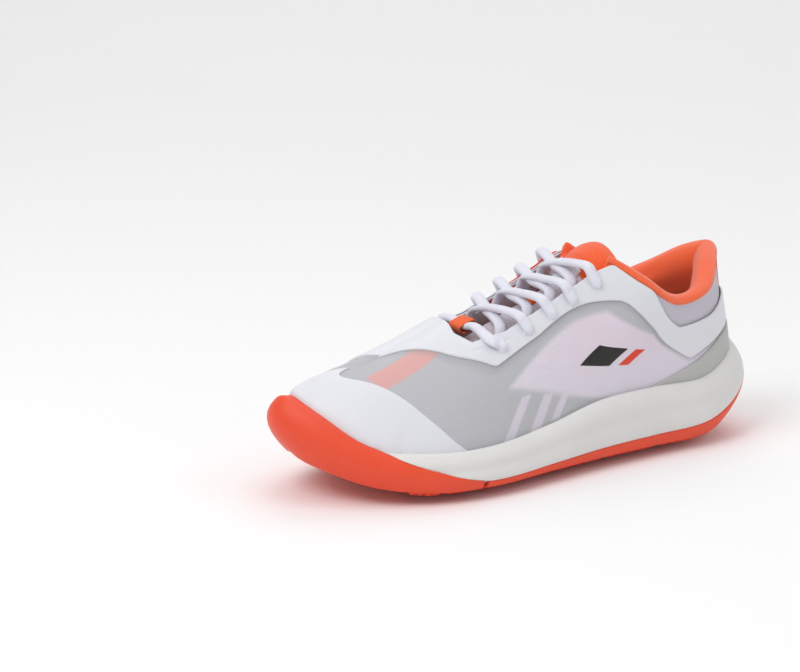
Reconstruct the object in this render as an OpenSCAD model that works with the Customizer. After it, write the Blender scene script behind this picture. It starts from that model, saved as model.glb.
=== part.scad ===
// Court shoe for the left foot. The toe points to -X, the outer side of the foot to -Y.
// The sole stands on z = 0 and the origin is under the middle of the shoe.

/* [Shoe] */
// Length of the sole from heel to toe
shoe_length = 298; // [270:1:320]
// Greatest width of the sole, across the ball of the foot
shoe_width = 108; // [98:1:116]

/* [Upper] */
// Thickness of the knitted upper
knit_thick = 1.2; // [0.8:0.1:1.4]
// Thickness of the moulded overlays
overlay_thick = 0.8; // [0.5:0.1:1.2]
// Thickness of the clear film over the outer side
film_thick = 0.5; // [0.4:0.1:0.6]
// Thickness of the inner lining
lining_thick = 1.1; // [0.8:0.1:1.2]
// Thickness of the foam in the collar
collar_foam = 5.5; // [3:0.5:6]

/* [Sole] */
// Thickness of the outsole rubber underfoot
outsole_floor = 3; // [2:0.5:4]
// Thickness of the outsole rubber up the wall
outsole_wall = 1.8; // [1.2:0.1:2]
// Height that the tread stands out below the outsole
tread_height = 1.4; // [1:0.1:2]
// Width of the gap between the forefoot and heel outsoles
flex_gap = 3; // [2:0.5:5]
// Thickness of the removable insole
insole_thick = 4; // [3:0.5:5]

/* [Lacing] */
// Diameter of the lace
lace_d = 3.4; // [3:0.1:3.6]
// Diameter of each eyelet hole
eyelet_d = 5; // [4.6:0.1:5.4]

/* [Hidden] */
$fn = 32;

// One station of the sole, twenty round the outline from the heel centre along the outer side:
// x, y of the widest edge, height of the bottom edge, how far the bottom edge is tucked in,
// height of the widest edge, how far the rim is tucked in, height of the rim,
// height of the footbed edge, height of the top edge of the rubber
SOLE = [
    [149, 0, 14, 12, 31, 8, 49, 27, 40],
    [138, -23, 7, 10, 26, 7, 44, 27, 24],
    [108, -36, 2, 5, 17, 6, 34, 26, 12],
    [70, -39, 2, 3, 16, 5, 34, 24, 10],
    [32, -43, 2, 3, 15, 5, 33, 21, 9],
    [-6, -49, 2, 3, 12, 5, 26, 17, 8],
    [-44, -55, 1.5, 3, 10, 5, 22, 14.5, 6],
    [-80, -53, 2, 3, 11, 5, 22, 15, 14],
    [-112, -39, 5, 5, 16, 5, 26, 18.5, 26],
    [-138, -16, 13, 9, 28, 5, 42.5, 26, 42.5],
    [-148.5, 6, 18, 12, 36, 6, 50, 30, 50],
    [-137, 28, 14, 10, 29, 5, 42, 27, 42],
    [-108, 44, 6, 5, 16, 5, 27, 19, 25],
    [-72, 53, 2, 3, 14, 4, 35, 15, 35],
    [-32, 49, 2, 3, 13, 4, 32, 15, 29],
    [6, 39, 2, 3, 14, 5, 33, 18, 9],
    [44, 34, 2, 3, 15, 5, 36, 21, 9],
    [80, 34, 2, 3, 16, 5, 36, 24, 10],
    [114, 33, 3, 6, 19, 6, 38, 26, 13],
    [140, 21, 8, 10, 26, 7, 44, 27, 26]];

// One station of the top line of the upper: x, y, z and how the wall leaves the footbed edge
// (outwards, up) and reaches the top line (outwards, up)
TOP = [
    [131, 0, 101, 1, 30, 0, -20],
    [121.5, -15, 97, 1, 30, 2, -20],
    [104, -32, 85, 1, 26, 3, -14],
    [82, -34, 81, 1, 24, 4, -12],
    [60, -31, 95, 1, 26, 8, -14],
    [35, -9, 111, 1, 28, 20, -8],
    [2, 4, 102, 1, 26, 22, -2],
    [-30, 5, 84.5, 1, 22, 23, -2],
    [-60, 5, 70.5, 1, 25, 24, -1],
    [-90, 5, 60.5, 1, 22, 25, -1],
    [-116, 5, 57.5, 1, 18, 17, -1],
    [-90, 5, 60.5, 1, 22, 25, -1],
    [-60, 5, 70.5, 1, 25, 24, -1],
    [-30, 5, 84.5, 1, 22, 23, -2],
    [2, 4, 102, 1, 26, 22, -2],
    [35, 17, 111, 1, 28, 17, -8],
    [60, 31, 96, 1, 26, 8, -14],
    [82, 32, 82, 1, 24, 4, -12],
    [104, 30, 86, 1, 26, 3, -14],
    [121.5, 13.5, 98, 1, 30, 2, -20]];

STATIONS = 48;
TIP = STATIONS / 2;
BASE_LENGTH = 298;
BASE_WIDTH = 108;
KX = shoe_length / BASE_LENGTH;
KY = shoe_width / BASE_WIDTH;
GLUE = 0.3;
LAYER_GAP = 0.5;

// Columns of SOLE and TOP after their x and y
BOTTOM_Z = 2;
BOTTOM_IN = 3;
WIDE_Z = 4;
RIM_IN = 5;
RIM_Z = 6;
FOOT_Z = 7;
RUBBER_Z = 8;
TOP_Z = 2;
LOW_OUT = 3;
LOW_UP = 4;
HIGH_OUT = 5;
HIGH_UP = 6;

// How far the upper's lower edge is tucked in from the outline, more under the toe bumper
function feather_in(t) = lookup(t, [[0, 10.5], [0.35, 9.4], [0.42, 10], [0.46, 11.4],
    [0.54, 11.4], [0.58, 10], [0.65, 9.4], [1, 10.5]]);

function wrap(t) = t - floor(t);
function blend4(a, b, c, d, f) = 0.5 * (2 * b + (c - a) * f + (2 * a - 5 * b + 4 * c - d) * f * f
    + (3 * b - a - 3 * c + d) * f * f * f);
function table_at(tab, t) = let (n = len(tab), s = wrap(t) * n, i = floor(s), f = s - i)
    blend4(tab[(i + n - 1) % n], tab[i % n], tab[(i + 1) % n], tab[(i + 2) % n], f);
function unit(v) = v / max(norm(v), 1e-9);

// Outline of the sole, its outward direction, and a point moved in from it at height z
function edge(t) = let (e = table_at(SOLE, t)) [e[0] * KX, e[1] * KY];
function outward(t) = let (d = edge(t + 0.004) - edge(t - 0.004)) unit([-d[1], d[0]]);
function tucked(t, by, z) = let (p = edge(t) - outward(t) * by) [p[0], p[1], z];

// Outer face of the sole wall: s runs from the bottom edge, 0, to the rim, 1
function wall(t, s, by = 0) = let (e = table_at(SOLE, t), lo = (1 - s) * (1 - 2 * s), hi = s * (2 * s - 1))
    tucked(t, e[BOTTOM_IN] * lo + e[RIM_IN] * hi + by,
        e[BOTTOM_Z] * lo + 4 * e[WIDE_Z] * s * (1 - s) + e[RIM_Z] * hi);
function rubber_top(t) = let (e = table_at(SOLE, t))
    min(1, max(0.26, (e[RUBBER_Z] - e[BOTTOM_Z]) / (e[RIM_Z] - e[BOTTOM_Z])));
// A point inside the wall, as far up from the bottom edge as the outsole's floor is thick
function over_floor(t, by, lift) = let (e = table_at(SOLE, t),
        s = outsole_floor / max(8, 4 * e[WIDE_Z] - 3 * e[BOTTOM_Z] - e[RIM_Z]), p = wall(t, s, by))
    [p[0], p[1], e[BOTTOM_Z] + outsole_floor + lift];

// Outer face of the upper: v runs from the footbed edge, 0, to the top line, 1
function ends(t) = let (e = table_at(SOLE, t), k = table_at(TOP, t),
        foot = tucked(t, feather_in(t), e[FOOT_Z]), top = [k[0] * KX, k[1] * KY, k[TOP_Z]],
        out = unit([foot[0] - top[0], foot[1] - top[1]]))
    [foot, foot + [out[0] * k[LOW_OUT], out[1] * k[LOW_OUT], k[LOW_UP]],
        top + [out[0] * k[HIGH_OUT], out[1] * k[HIGH_OUT], k[HIGH_UP]], top];
function skin(t, v) = let (b = ends(t), w = 1 - v)
    w * w * w * b[0] + 3 * w * w * v * b[1] + 3 * w * v * v * b[2] + v * v * v * b[3];
function slope_normal(t, v) = let (a = skin(t + 0.003, v) - skin(t - 0.003, v),
        b = skin(t, min(v + 0.02, 1)) - skin(t, max(v - 0.02, 0))) unit(cross(b, a));
function on_ridge(t) = wrap(t) > 0.37 && wrap(t) < 0.63;
// Outward direction; both sides of the ridge over the toes share theirs
function skin_normal(t, v) = v > 0.97 && on_ridge(t)
    ? unit(slope_normal(t, 0.97) + slope_normal(1 - t, 0.97)) : slope_normal(t, min(v, 0.97));
function layer(t, v, off) = skin(t, v) + skin_normal(t, v) * off;

// Where the wall of the upper first stands clear of the sole's rim
function above_rim(t, v = 0.02) = v > 0.6 || skin(t, v)[2] > table_at(SOLE, t)[RIM_Z] + 1
    ? v : above_rim(t, v + 0.02);
// Edge of the lacing opening and of the foot opening
throat = function (t) let (u = min(wrap(t), 1 - wrap(t)))
    lookup(u, [[0.22, 1], [0.2285, 0.91], [0.244, 0.74], [0.261, 0.655], [0.2785, 0.61], [0.303, 0.575],
        [0.332, 0.61], [0.354, 0.74], [0.374, 1]]);

// A shell between two offsets from the skin, over the stations listed as [first, last] (last may
// pass STATIONS to go round the heel), from lo(t) to hi(t). Where hi reaches the ridge over the
// toes, the two sides are one.
module shell(first, last, lo, hi, rows, inner, outer) {
    full = last - first >= STATIONS;
    st = [for (i = [0 : STATIONS - 1]) i / STATIONS];
    low = [for (t = st) lo(t)];
    high = [for (t = st) hi(t)];
    pts = [for (side = [0, 1]) for (i = [0 : STATIONS - 1]) for (j = [0 : rows])
        let (v = low[i] + (high[i] - low[i]) * j / rows)
        layer(st[i], v, side == 0 ? outer(st[i], v) : inner(st[i], v))];
    joined = [for (i = [0 : STATIONS - 1]) high[i] > 0.999 && on_ridge(st[i])];
    function home(i) = (i % STATIONS + STATIONS) % STATIONS;
    function at(side, i, j) = let (k = home(i), m = j == rows && joined[k] ? min(k, STATIONS - k) : k)
        (side * STATIONS + m) * (rows + 1) + j;
    function quad(a, b, c, d) = [[a, c, b], [a, d, c]];
    lastcol = full ? first + STATIONS - 1 : last - 1;
    faces = [for (i = [first : lastcol]) each concat(
        [for (j = [0 : rows - 1])
            each quad(at(0, i, j), at(0, i, j + 1), at(0, i + 1, j + 1), at(0, i + 1, j))],
        [for (j = [0 : rows - 1])
            each quad(at(1, i, j), at(1, i + 1, j), at(1, i + 1, j + 1), at(1, i, j + 1))],
        quad(at(0, i, 0), at(0, i + 1, 0), at(1, i + 1, 0), at(1, i, 0)),
        joined[home(i)] && joined[home(i + 1)] ? []
            : quad(at(0, i, rows), at(1, i, rows), at(1, i + 1, rows), at(0, i + 1, rows)),
        !full && i == first ? [for (j = [0 : rows - 1])
            each quad(at(0, i, j), at(1, i, j), at(1, i, j + 1), at(0, i, j + 1))] : [],
        !full && i == lastcol ? [for (j = [0 : rows - 1])
            each quad(at(0, i + 1, j), at(0, i + 1, j + 1), at(1, i + 1, j + 1), at(1, i + 1, j))] : [])];
    used = [for (f = faces) if (f[0] != f[1] && f[1] != f[2] && f[0] != f[2]) f];
    polyhedron(points = pts, faces = used);
}

// Rings of points one above the other, closed below and above across the shoe
module stacked(rings) {
    n = STATIONS;
    m = len(rings);
    function lid(k) = [for (i = [0 : TIP - 1]) let (a = k * n + i, b = k * n + i + 1,
            c = k * n + (n - i - 1) % n, d = k * n + (n - i) % n)
        each (i == 0 ? [[a, b, c]] : i == TIP - 1 ? [[a, b, d]] : [[a, b, c], [a, c, d]])];
    function flip(fs) = [for (f = fs) [f[2], f[1], f[0]]];
    sides = [for (k = [0 : m - 2]) for (i = [0 : n - 1]) let (a = k * n + i, b = k * n + (i + 1) % n)
        each [[a, b + n, a + n], [a, b, b + n]]];
    polyhedron(points = [for (r = rings) each r], faces = concat(sides, flip(lid(0)), lid(m - 1)));
}
function ring(f) = [for (i = [0 : STATIONS - 1]) f(i / STATIONS)];

// A round tube of the diameter d along a list of points, with flat ends
function along(path, i) = unit(path[min(i + 1, len(path) - 1)] - path[max(i - 1, 0)]);
module tube(path, d, sides) {
    n = len(path);
    ups = [for (i = 0, u = unit(cross(along(path, 0), [0.3, 1, 0.2])); i < n; i = i + 1,
        u = i < n ? unit(u - along(path, i) * (u * along(path, i))) : u) u];
    pts = [for (i = [0 : n - 1]) let (w = cross(along(path, i), ups[i])) for (k = [0 : sides - 1])
        path[i] + (ups[i] * cos(k * 360 / sides) + w * sin(k * 360 / sides)) * d / 2];
    mantle = [for (i = [0 : n - 2]) for (k = [0 : sides - 1])
        let (a = i * sides + k, b = i * sides + (k + 1) % sides)
        each [[a, a + sides, b + sides], [a, b + sides, b]]];
    ends = [[for (k = [0 : sides - 1]) k], [for (k = [sides - 1 : -1 : 0]) (n - 1) * sides + k]];
    polyhedron(points = pts, faces = concat(mantle, ends));
}

// --- Sole ---

SPLIT_X = -55 * KX;
TREAD_FRONT_X = -95 * KX;
TREAD_BACK_X = 102 * KX;
TREAD_BITE = 1.1;
TREAD_IN = 7;
TREAD_BAND = 6;
GROOVE_PITCH = 9;
GROOVE_W = 2.6;

module rubber_tray() {
    under = function (t) let (p = wall(t, 0)) [p[0], p[1], p[2]];
    low = function (t) wall(t, rubber_top(t) / 3);
    mid = function (t) wall(t, rubber_top(t) * 2 / 3);
    rim = function (t) wall(t, rubber_top(t));
    rim_in = function (t) wall(t, rubber_top(t), outsole_wall);
    mid_in = function (t) wall(t, rubber_top(t) * 2 / 3, outsole_wall);
    floor_in = function (t) over_floor(t, outsole_wall, 0);
    stacked([ring(under), ring(low), ring(mid), ring(rim), ring(rim_in), ring(mid_in), ring(floor_in)]);
}

module tread(x0, x1) {
    outer = [for (i = [0 : STATIONS - 1]) let (p = tucked(i / STATIONS, TREAD_IN, 0)) [p[0], p[1]]];
    inner = [for (i = [0 : STATIONS - 1])
        let (p = tucked(i / STATIONS, TREAD_IN + TREAD_BAND, 0)) [p[0], p[1]]];
    linear_extrude(height = outsole_floor + TREAD_BITE) difference() {
        intersection() {
            polygon(outer);
            translate([x0, -shoe_width / 2]) square([x1 - x0, shoe_width]);
        }
        intersection() {
            polygon(inner);
            translate([x0 + TREAD_BAND, -shoe_width / 2]) square([x1 - x0 - 2 * TREAD_BAND, shoe_width]);
            for (x = [x0 : GROOVE_PITCH : x1 + shoe_width / 2])
                translate([x, 2]) for (turn = [-1, 1]) rotate(turn * 60 + 180)
                    translate([-GROOVE_W, -GROOVE_W / 2]) square([shoe_width, GROOVE_W]);
        }
    }
}

module half_space(x0, x1) {
    translate([x0, -shoe_width, -1]) cube([x1 - x0, 2 * shoe_width, 80]);
}

module forefoot_outsole() {
    color("orangered") {
        intersection() {
            rubber_tray();
            half_space(-shoe_length, SPLIT_X - flex_gap / 2);
        }
        tread(TREAD_FRONT_X, SPLIT_X - flex_gap / 2);
    }
}

module heel_outsole() {
    color("orangered") {
        intersection() {
            rubber_tray();
            half_space(SPLIT_X + flex_gap / 2, shoe_length);
        }
        tread(SPLIT_X + flex_gap / 2, TREAD_BACK_X);
    }
}

SHANK_X0 = -30 * KX;
SHANK_LENGTH = 92;
SHANK_W = 34;
SHANK_THICK = 1.6;
SHANK_Z = 5.6;
BOARD_THICK = 1.5;
// The footbed's cup is this much wider than the upper that stands in it
CUP_PLAY = 1.8;
CUP_DEPTH = BOARD_THICK + 2 * GLUE + 0.2;

module shank_shape(grow, sink) {
    translate([SHANK_X0 - grow, -SHANK_W / 2 - grow, SHANK_Z - sink])
        cube([SHANK_LENGTH + 2 * grow, SHANK_W + 2 * grow, SHANK_THICK + sink + grow]);
}

// The midsole stays behind the rubber wherever the rubber reaches the rim
function covered(t) = rubber_top(t) > 0.85;
module midsole() {
    skirt = outsole_wall + 2 * GLUE;
    function back(t) = covered(t - 1 / STATIONS) || covered(t) || covered(t + 1 / STATIONS) ? skirt : 0;
    function behind(t, k) = wall(t, rubber_top(t) * 2 / 3, skirt) * (1 - k)
        + wall(t, rubber_top(t), skirt) * k;
    base = function (t) over_floor(t, skirt, GLUE);
    inner = function (t) behind(t, 0);
    low = function (t) behind(t, covered(t) ? 0.4 : 1);
    step = function (t) covered(t) ? behind(t, 0.6) : wall(t, rubber_top(t) + 0.06, back(t));
    mid = function (t) covered(t) ? behind(t, 0.8) : wall(t, (rubber_top(t) + 1.06) / 2, back(t));
    rim = function (t) covered(t) ? behind(t, 1) : wall(t, 1, back(t));
    lip = function (t) tucked(t, feather_in(t) - CUP_PLAY, table_at(SOLE, t)[RIM_Z] - 0.4);
    cup = function (t) tucked(t, feather_in(t) - CUP_PLAY, table_at(SOLE, t)[FOOT_Z] - CUP_DEPTH);
    color("whitesmoke") difference() {
        stacked([ring(base), ring(inner), ring(low), ring(step), ring(mid), ring(rim), ring(lip), ring(cup)]);
        shank_shape(GLUE / 2, SHANK_Z);
    }
}

module midfoot_shank() {
    color("darkslategray") shank_shape(0, 0);
}

// A sheet that follows the footbed, tucked in from the outline, from the height a to b over it
module footbed_sheet(by, a, b) {
    bottom = function (t) tucked(t, feather_in(t) + by, table_at(SOLE, t)[FOOT_Z] + a);
    top = function (t) tucked(t, feather_in(t) + by, table_at(SOLE, t)[FOOT_Z] + b);
    stacked([ring(bottom), ring(top)]);
}

module strobel_board() {
    color("beige") footbed_sheet(-1, -BOARD_THICK - GLUE, -GLUE);
}

INSOLE_IN = 6.6;
module insole() {
    color("lightgray") footbed_sheet(INSOLE_IN, 0.1, insole_thick);
}

// --- Upper ---

// Depth of the lining under the skin: deeper over the heel counter and the toe puff
STIFFENER_THICK = 1.3;
function lining_depth(t) = let (u = min(wrap(t), 1 - wrap(t)))
    lookup(u, [[0.115, knit_thick + STIFFENER_THICK + 2 * LAYER_GAP], [0.16, knit_thick + LAYER_GAP],
        [0.415, knit_thick + LAYER_GAP], [0.44, knit_thick + STIFFENER_THICK + 2 * LAYER_GAP]]);

// The collar pad sits on the inside from pad_low up to the top line
function pad_low(t) = let (u = min(wrap(t), 1 - wrap(t))) lookup(u, [[0, 0.62], [0.15, 0.6], [0.23, 0.72]]);

// Eyelets from the toe end up, as stations and heights on the outer side
EYELET_AT = [[0.303, 0.51], [0.28, 0.545], [0.262, 0.59], [0.246, 0.65], [0.231, 0.77]];
EYELETS = len(EYELET_AT);
function eyelet(side, i) = side < 0 ? EYELET_AT[i] : [1 - EYELET_AT[i][0], EYELET_AT[i][1] + 0.01];

module eyelet_holes() {
    for (side = [-1, 1]) for (i = [0 : EYELETS - 1]) {
        e = eyelet(side, i);
        n = skin_normal(e[0], e[1]);
        translate(layer(e[0], e[1], -5.5)) rotate([0, acos(n[2]), atan2(n[1], n[0])])
            cylinder(d = eyelet_d, h = 10, $fn = 24);
    }
}

function above(d) = function (t, v) d;

module knit_upper() {
    color("lavender") difference() {
        shell(0, STATIONS, function (t) 0, throat, 12, above(-knit_thick), above(0));
        eyelet_holes();
    }
}

LINING_TOP_GAP = 0.02;
lining_top = function (t) let (u = min(wrap(t), 1 - wrap(t)))
    u < 0.24 ? pad_low(t) - LINING_TOP_GAP : throat(t);
module inner_lining() {
    color("tomato") difference() {
        shell(0, STATIONS, function (t) 0.03, lining_top, 10,
            function (t, v) -lining_depth(t) - lining_thick, function (t, v) -lining_depth(t));
        eyelet_holes();
    }
}

module heel_counter() {
    color("gainsboro") shell(STATIONS - 5, STATIONS + 5, function (t) 0.05, function (t) pad_low(t) - 0.05, 4,
        above(-knit_thick - LAYER_GAP - STIFFENER_THICK), above(-knit_thick - LAYER_GAP));
}

module toe_puff() {
    color("gainsboro") shell(TIP - 3, TIP + 3, function (t) 0.1, function (t) 0.84, 8,
        above(-knit_thick - LAYER_GAP - STIFFENER_THICK), above(-knit_thick - LAYER_GAP));
}

// Oval pad section round the collar: how far in from the skin and how far up, as the angle a turns
PAD_FIRST = -10;
PAD_LAST = 10;
PAD_TRIM = 0.03;
PAD_SIDES = 10;
function pad_point(t, a, shrink) = let (
        low = pad_low(t), mid = (low + 1) / 2, half = (1 - low) / 2,
        out = knit_thick + LAYER_GAP + 0.2, thick = collar_foam + 4,
        deep = out + thick / 2 - cos(a) * (thick / 2 - shrink),
        v = mid + sin(a) * (half - shrink * 0.012))
    layer(t, v, -deep);
module pad(first, last, shrink, trim = 0) {
    n = last - first + 1;
    pts = [for (i = [first : last]) let (s = i == first ? i + trim : i == last ? i - trim : i)
        for (k = [0 : PAD_SIDES - 1]) pad_point(s / STATIONS, k * 360 / PAD_SIDES, shrink)];
    mantle = [for (i = [0 : n - 2]) for (k = [0 : PAD_SIDES - 1])
        let (a = i * PAD_SIDES + k, b = i * PAD_SIDES + (k + 1) % PAD_SIDES)
        each [[a, b + PAD_SIDES, b], [a, a + PAD_SIDES, b + PAD_SIDES]]];
    caps = [[for (k = [0 : PAD_SIDES - 1]) k], [for (k = [PAD_SIDES - 1 : -1 : 0]) (n - 1) * PAD_SIDES + k]];
    polyhedron(points = pts, faces = concat(mantle, caps));
}

COVER_THICK = 1.2;
module collar_foam_pad() {
    color("orange") pad(PAD_FIRST + 1, PAD_LAST - 1, COVER_THICK + LAYER_GAP, PAD_TRIM);
}
module collar_lining() {
    color("orangered") difference() {
        pad(PAD_FIRST, PAD_LAST, 0);
        pad(PAD_FIRST + 1, PAD_LAST - 1, COVER_THICK);
    }
}

FILM_IN = LAYER_GAP;
FILM_OUT = FILM_IN + film_thick;
OVER_IN = FILM_OUT + LAYER_GAP;
OVER_OUT = OVER_IN + overlay_thick;
SECOND_IN = OVER_OUT + LAYER_GAP;
SECOND_OUT = SECOND_IN + overlay_thick;

// Lower edge of the eyestay and of its band back to the heel, and the band's upper edge
eyestay_low = function (t) lookup(t, [[0, 0.42], [0.0755, 0.37], [0.1, 0.33], [0.117, 0.32], [0.167, 0.65],
    [0.211, 0.72], [0.22, 0.7], [0.268, 0.5], [0.305, 0.43], [0.353, 0.6], [0.397, 0.78], [0.44, 0.93]]);
eyestay_high = function (t) t > 0.36 ? 0.955 : t > 0.225 ? throat(t) - 0.01
    : lookup(t, [[0, 0.65], [0.09, 0.65], [0.136, 0.67], [0.186, 0.96], [0.225, 0.96]]);
function toe_edge(t) = lookup(t, [[0.31, 0.13], [0.323, 0.16], [0.352, 0.28], [0.382, 0.43], [0.413, 0.56],
    [0.448, 0.7], [0.467, 0.88], [0.5, 0.9]]);
// Where the toe overlay meets the inner side's overlay
function inner_split(t) = lookup(t, [[0.5, 0.9], [0.56, 0.82], [0.62, 0.62], [0.7, 0.45], [0.74, 0.3]]);

EYESTAY_FRONT = 21;
module lateral_film() {
    color("silver", 0.6) shell(1, EYESTAY_FRONT + 1,
        function (t) t > 0.32 ? toe_edge(t) + 0.02 : above_rim(t) + 0.01,
        function (t) t > 0.4 ? 0.93 : eyestay_low(t) + 0.04, 9, above(FILM_IN), above(FILM_OUT));
}

module toe_overlay() {
    color("white") shell(16, STATIONS - 13, function (t) above_rim(t),
        function (t) t < 0.5 ? max(toe_edge(t) - 0.02, above_rim(t) + 0.08)
            : max(inner_split(t) - 0.02, above_rim(t) + 0.08), 6, above(FILM_IN), above(FILM_OUT));
}

module eyestay_overlay() {
    color("white") difference() {
        shell(0, EYESTAY_FRONT, eyestay_low, eyestay_high, 5, above(OVER_IN), above(OVER_OUT));
        eyelet_holes();
    }
}

module medial_overlay() {
    color("white") difference() {
        shell(STATIONS - 18, STATIONS - 7, function (t) t < 0.74 ? inner_split(t) + 0.02 : above_rim(t),
            function (t) t < 0.64 ? 0.97 : throat(t) - (t > 0.78 ? 0.2 : 0.01), 7,
            above(OVER_IN), above(OVER_OUT));
        eyelet_holes();
    }
}

module medial_window_mesh() {
    color("silver") shell(STATIONS - 22, STATIONS - 18, function (t) inner_split(t) + 0.02,
        function (t) 0.97, 7, above(OVER_IN), above(OVER_OUT));
}

module medial_saddle() {
    color("orangered") difference() {
        shell(STATIONS - 13, STATIONS - 9, function (t) 0.36,
            function (t) t > 0.77 ? 0.9 : throat(t) - 0.02, 6, above(SECOND_IN), above(SECOND_OUT));
        eyelet_holes();
    }
}

CLIP_THICK = 1.4;
CLIP_TOP = [[0, 0.4], [0.0755, 0.34], [0.1, 0.3], [0.15, 0.24]];
module heel_clip() {
    color("darkgray") shell(-6, 7, function (t) above_rim(t),
        function (t) lookup(min(wrap(t), 1 - wrap(t)), CLIP_TOP), 3,
        above(FILM_OUT + LAYER_GAP), above(FILM_OUT + LAYER_GAP + CLIP_THICK));
}

STRIP_W = 8;
module heel_strip() {
    low = eyestay_high(0) + 0.03;
    rows = 6;
    pts = [for (off = [OVER_IN, OVER_OUT]) for (j = [0 : rows]) for (w = [-1, 1])
        let (v = low + (0.97 - low) * j / rows) layer(0, v, off) + [0, w * STRIP_W / 2, 0]];
    face = 2 * (rows + 1);
    quads = [for (j = [0 : rows - 1]) let (a = 2 * j) each [[a, a + 1, a + 3], [a, a + 3, a + 2],
        [face + a, face + a + 3, face + a + 1], [face + a, face + a + 2, face + a + 3],
        [a, a + 2, face + a + 2], [a, face + a + 2, face + a],
        [a + 1, face + a + 1, face + a + 3], [a + 1, face + a + 3, a + 3]]];
    last = 2 * rows;
    color("orangered") polyhedron(points = pts, faces = concat(quads,
        [[0, face, face + 1], [0, face + 1, 1], [last, last + 1, face + last + 1],
        [last, face + last + 1, face + last]]));
}

// Two plain slanted bars: a long one, and a short one behind it
MARK_V = 0.34;
MARK_H = 0.12;
MARK_LEAN = 0.014;
MARK_LONG = [0.2, 0.226];
MARK_SHORT = [0.172, 0.187];
module mark_bar(t0, t1, v0, v1, lean) {
    off = [FILM_OUT + LAYER_GAP + overlay_thick, FILM_OUT + LAYER_GAP];
    corner = [[t0, v0], [t1, v0], [t1 - lean, v1], [t0 - lean, v1]];
    pts = [for (h = off) for (c = corner) layer(c[0], c[1], h)];
    polyhedron(points = pts, faces = [[0, 1, 2], [0, 2, 3], [4, 6, 5], [4, 7, 6], [0, 4, 5], [0, 5, 1],
        [1, 5, 6], [1, 6, 2], [2, 6, 7], [2, 7, 3], [3, 7, 4], [3, 4, 0]]);
}
module side_mark() {
    color("black") {
        mark_bar(MARK_LONG[0], MARK_LONG[1], MARK_V, MARK_V + MARK_H, MARK_LEAN);
        mark_bar(MARK_SHORT[0], MARK_SHORT[1], MARK_V, MARK_V + MARK_H, MARK_LEAN);
    }
}

TAPE_THICK = 0.7;
TAPE_GAP = 0.7;
module eyelet_tape(first, last) {
    color("white") difference() {
        shell(first, last, function (t) throat(t) - 0.17, function (t) throat(t) - 0.01, 3,
            function (t, v) -lining_depth(t) - lining_thick - TAPE_GAP - TAPE_THICK,
            function (t, v) -lining_depth(t) - lining_thick - TAPE_GAP);
        eyelet_holes();
    }
}
module eyelet_tape_lateral() {
    eyelet_tape(11, 15);
}
module eyelet_tape_medial() {
    eyelet_tape(STATIONS - 15, STATIONS - 11);
}

// --- Tongue ---

// Middle line of the tongue's upper face, seen from the side, from its seam to its free end
TONGUE = [[-45, 66], [-30, 71.5], [-14, 78], [2, 84.5], [18, 91.5], [33, 99.5], [45, 109.5], [54, 116]];
TONGUE_Y = 1;
TONGUE_THICK = 7;
TONGUE_COLS = 6;
TONGUE_ROWS = len(TONGUE) - 1;
function tongue_half(k) = lookup(k, [[0, 12], [2, 14], [3, 14], [5, 12.6], [7, 10]]);
function tongue_drop(w) = 12 * w * w;
function tongue_at(k) = let (i = max(0, min(floor(k), TONGUE_ROWS - 1)), f = k - i)
    TONGUE[i] * (1 - f) + TONGUE[i + 1] * f;
function tongue_point(k, w, depth) = let (p = tongue_at(k), q = tongue_at(min(k + 1, TONGUE_ROWS))
            - tongue_at(max(k - 1, 0)),
        n = unit([-q[1], q[0]]), d = depth * (0.45 + 0.55 * sqrt(max(0, 1 - w * w))))
    [(p[0] - n[0] * d) * KX, TONGUE_Y + w * tongue_half(k),
        p[1] - n[1] * d - tongue_drop(w)];

module slab(rows, cols, top, under) {
    pts = [for (f = [top, under]) for (i = [0 : rows]) for (j = [0 : cols]) f(i, j)];
    step = cols + 1;
    back = (rows + 1) * step;
    function q(a, b, c, d) = [[a, b, c], [a, c, d]];
    faces = [for (i = [0 : rows - 1]) for (j = [0 : cols - 1]) let (a = i * step + j)
        each concat(q(a, a + 1, a + step + 1, a + step),
            q(back + a, back + a + step, back + a + step + 1, back + a + 1),
            j == 0 ? q(a, a + step, back + a + step, back + a) : [],
            j == cols - 1 ? q(a + 1, back + a + 1, back + a + step + 1, a + step + 1) : [],
            i == 0 ? q(a, back + a, back + a + 1, a + 1) : [],
            i == rows - 1 ? q(a + step, a + step + 1, back + a + step + 1, back + a + step) : [])];
    polyhedron(points = pts, faces = faces);
}

module tongue_body() {
    color("orangered") slab(TONGUE_ROWS, TONGUE_COLS,
        function (i, j) tongue_point(i, 2 * j / TONGUE_COLS - 1, 0),
        function (i, j) tongue_point(i, 2 * j / TONGUE_COLS - 1, TONGUE_THICK));
}

PATCH_THICK = 0.8;
PATCH_FROM = 5.4;
PATCH_STEP = 0.55;
PATCH_HALF = 0.5;
module tongue_patch() {
    function spot(i, j, up) = tongue_point(PATCH_FROM + i * PATCH_STEP, (j / 2 - 1) * PATCH_HALF, -up);
    color("white") slab(2, 4, function (i, j) spot(i, j, GLUE * 2 + PATCH_THICK),
        function (i, j) spot(i, j, GLUE * 2));
}

KEEPER_AT = 3.25;
KEEPER_L = 6.4;
KEEPER_W = 9;
KEEPER_THICK = 0.8;
KEEPER_GAP = 0.5;
KEEPER_SLOT = 2.4;
KEEPER_HOLE = 2;
module tongue_keeper() {
    rise = TONGUE[4] - TONGUE[2];
    lean = atan2(rise[1], rise[0]);
    color("orangered") translate(tongue_point(KEEPER_AT, 0, -KEEPER_GAP)) rotate([0, -lean, 0])
        difference() {
            translate([0, 0, KEEPER_THICK / 2]) cube([KEEPER_L, KEEPER_W, KEEPER_THICK], center = true);
            for (y = [-1, 1]) translate([0, y * KEEPER_SLOT, -1])
                cylinder(d = KEEPER_HOLE, h = KEEPER_THICK + 2, $fn = 24);
        }
}

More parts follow.
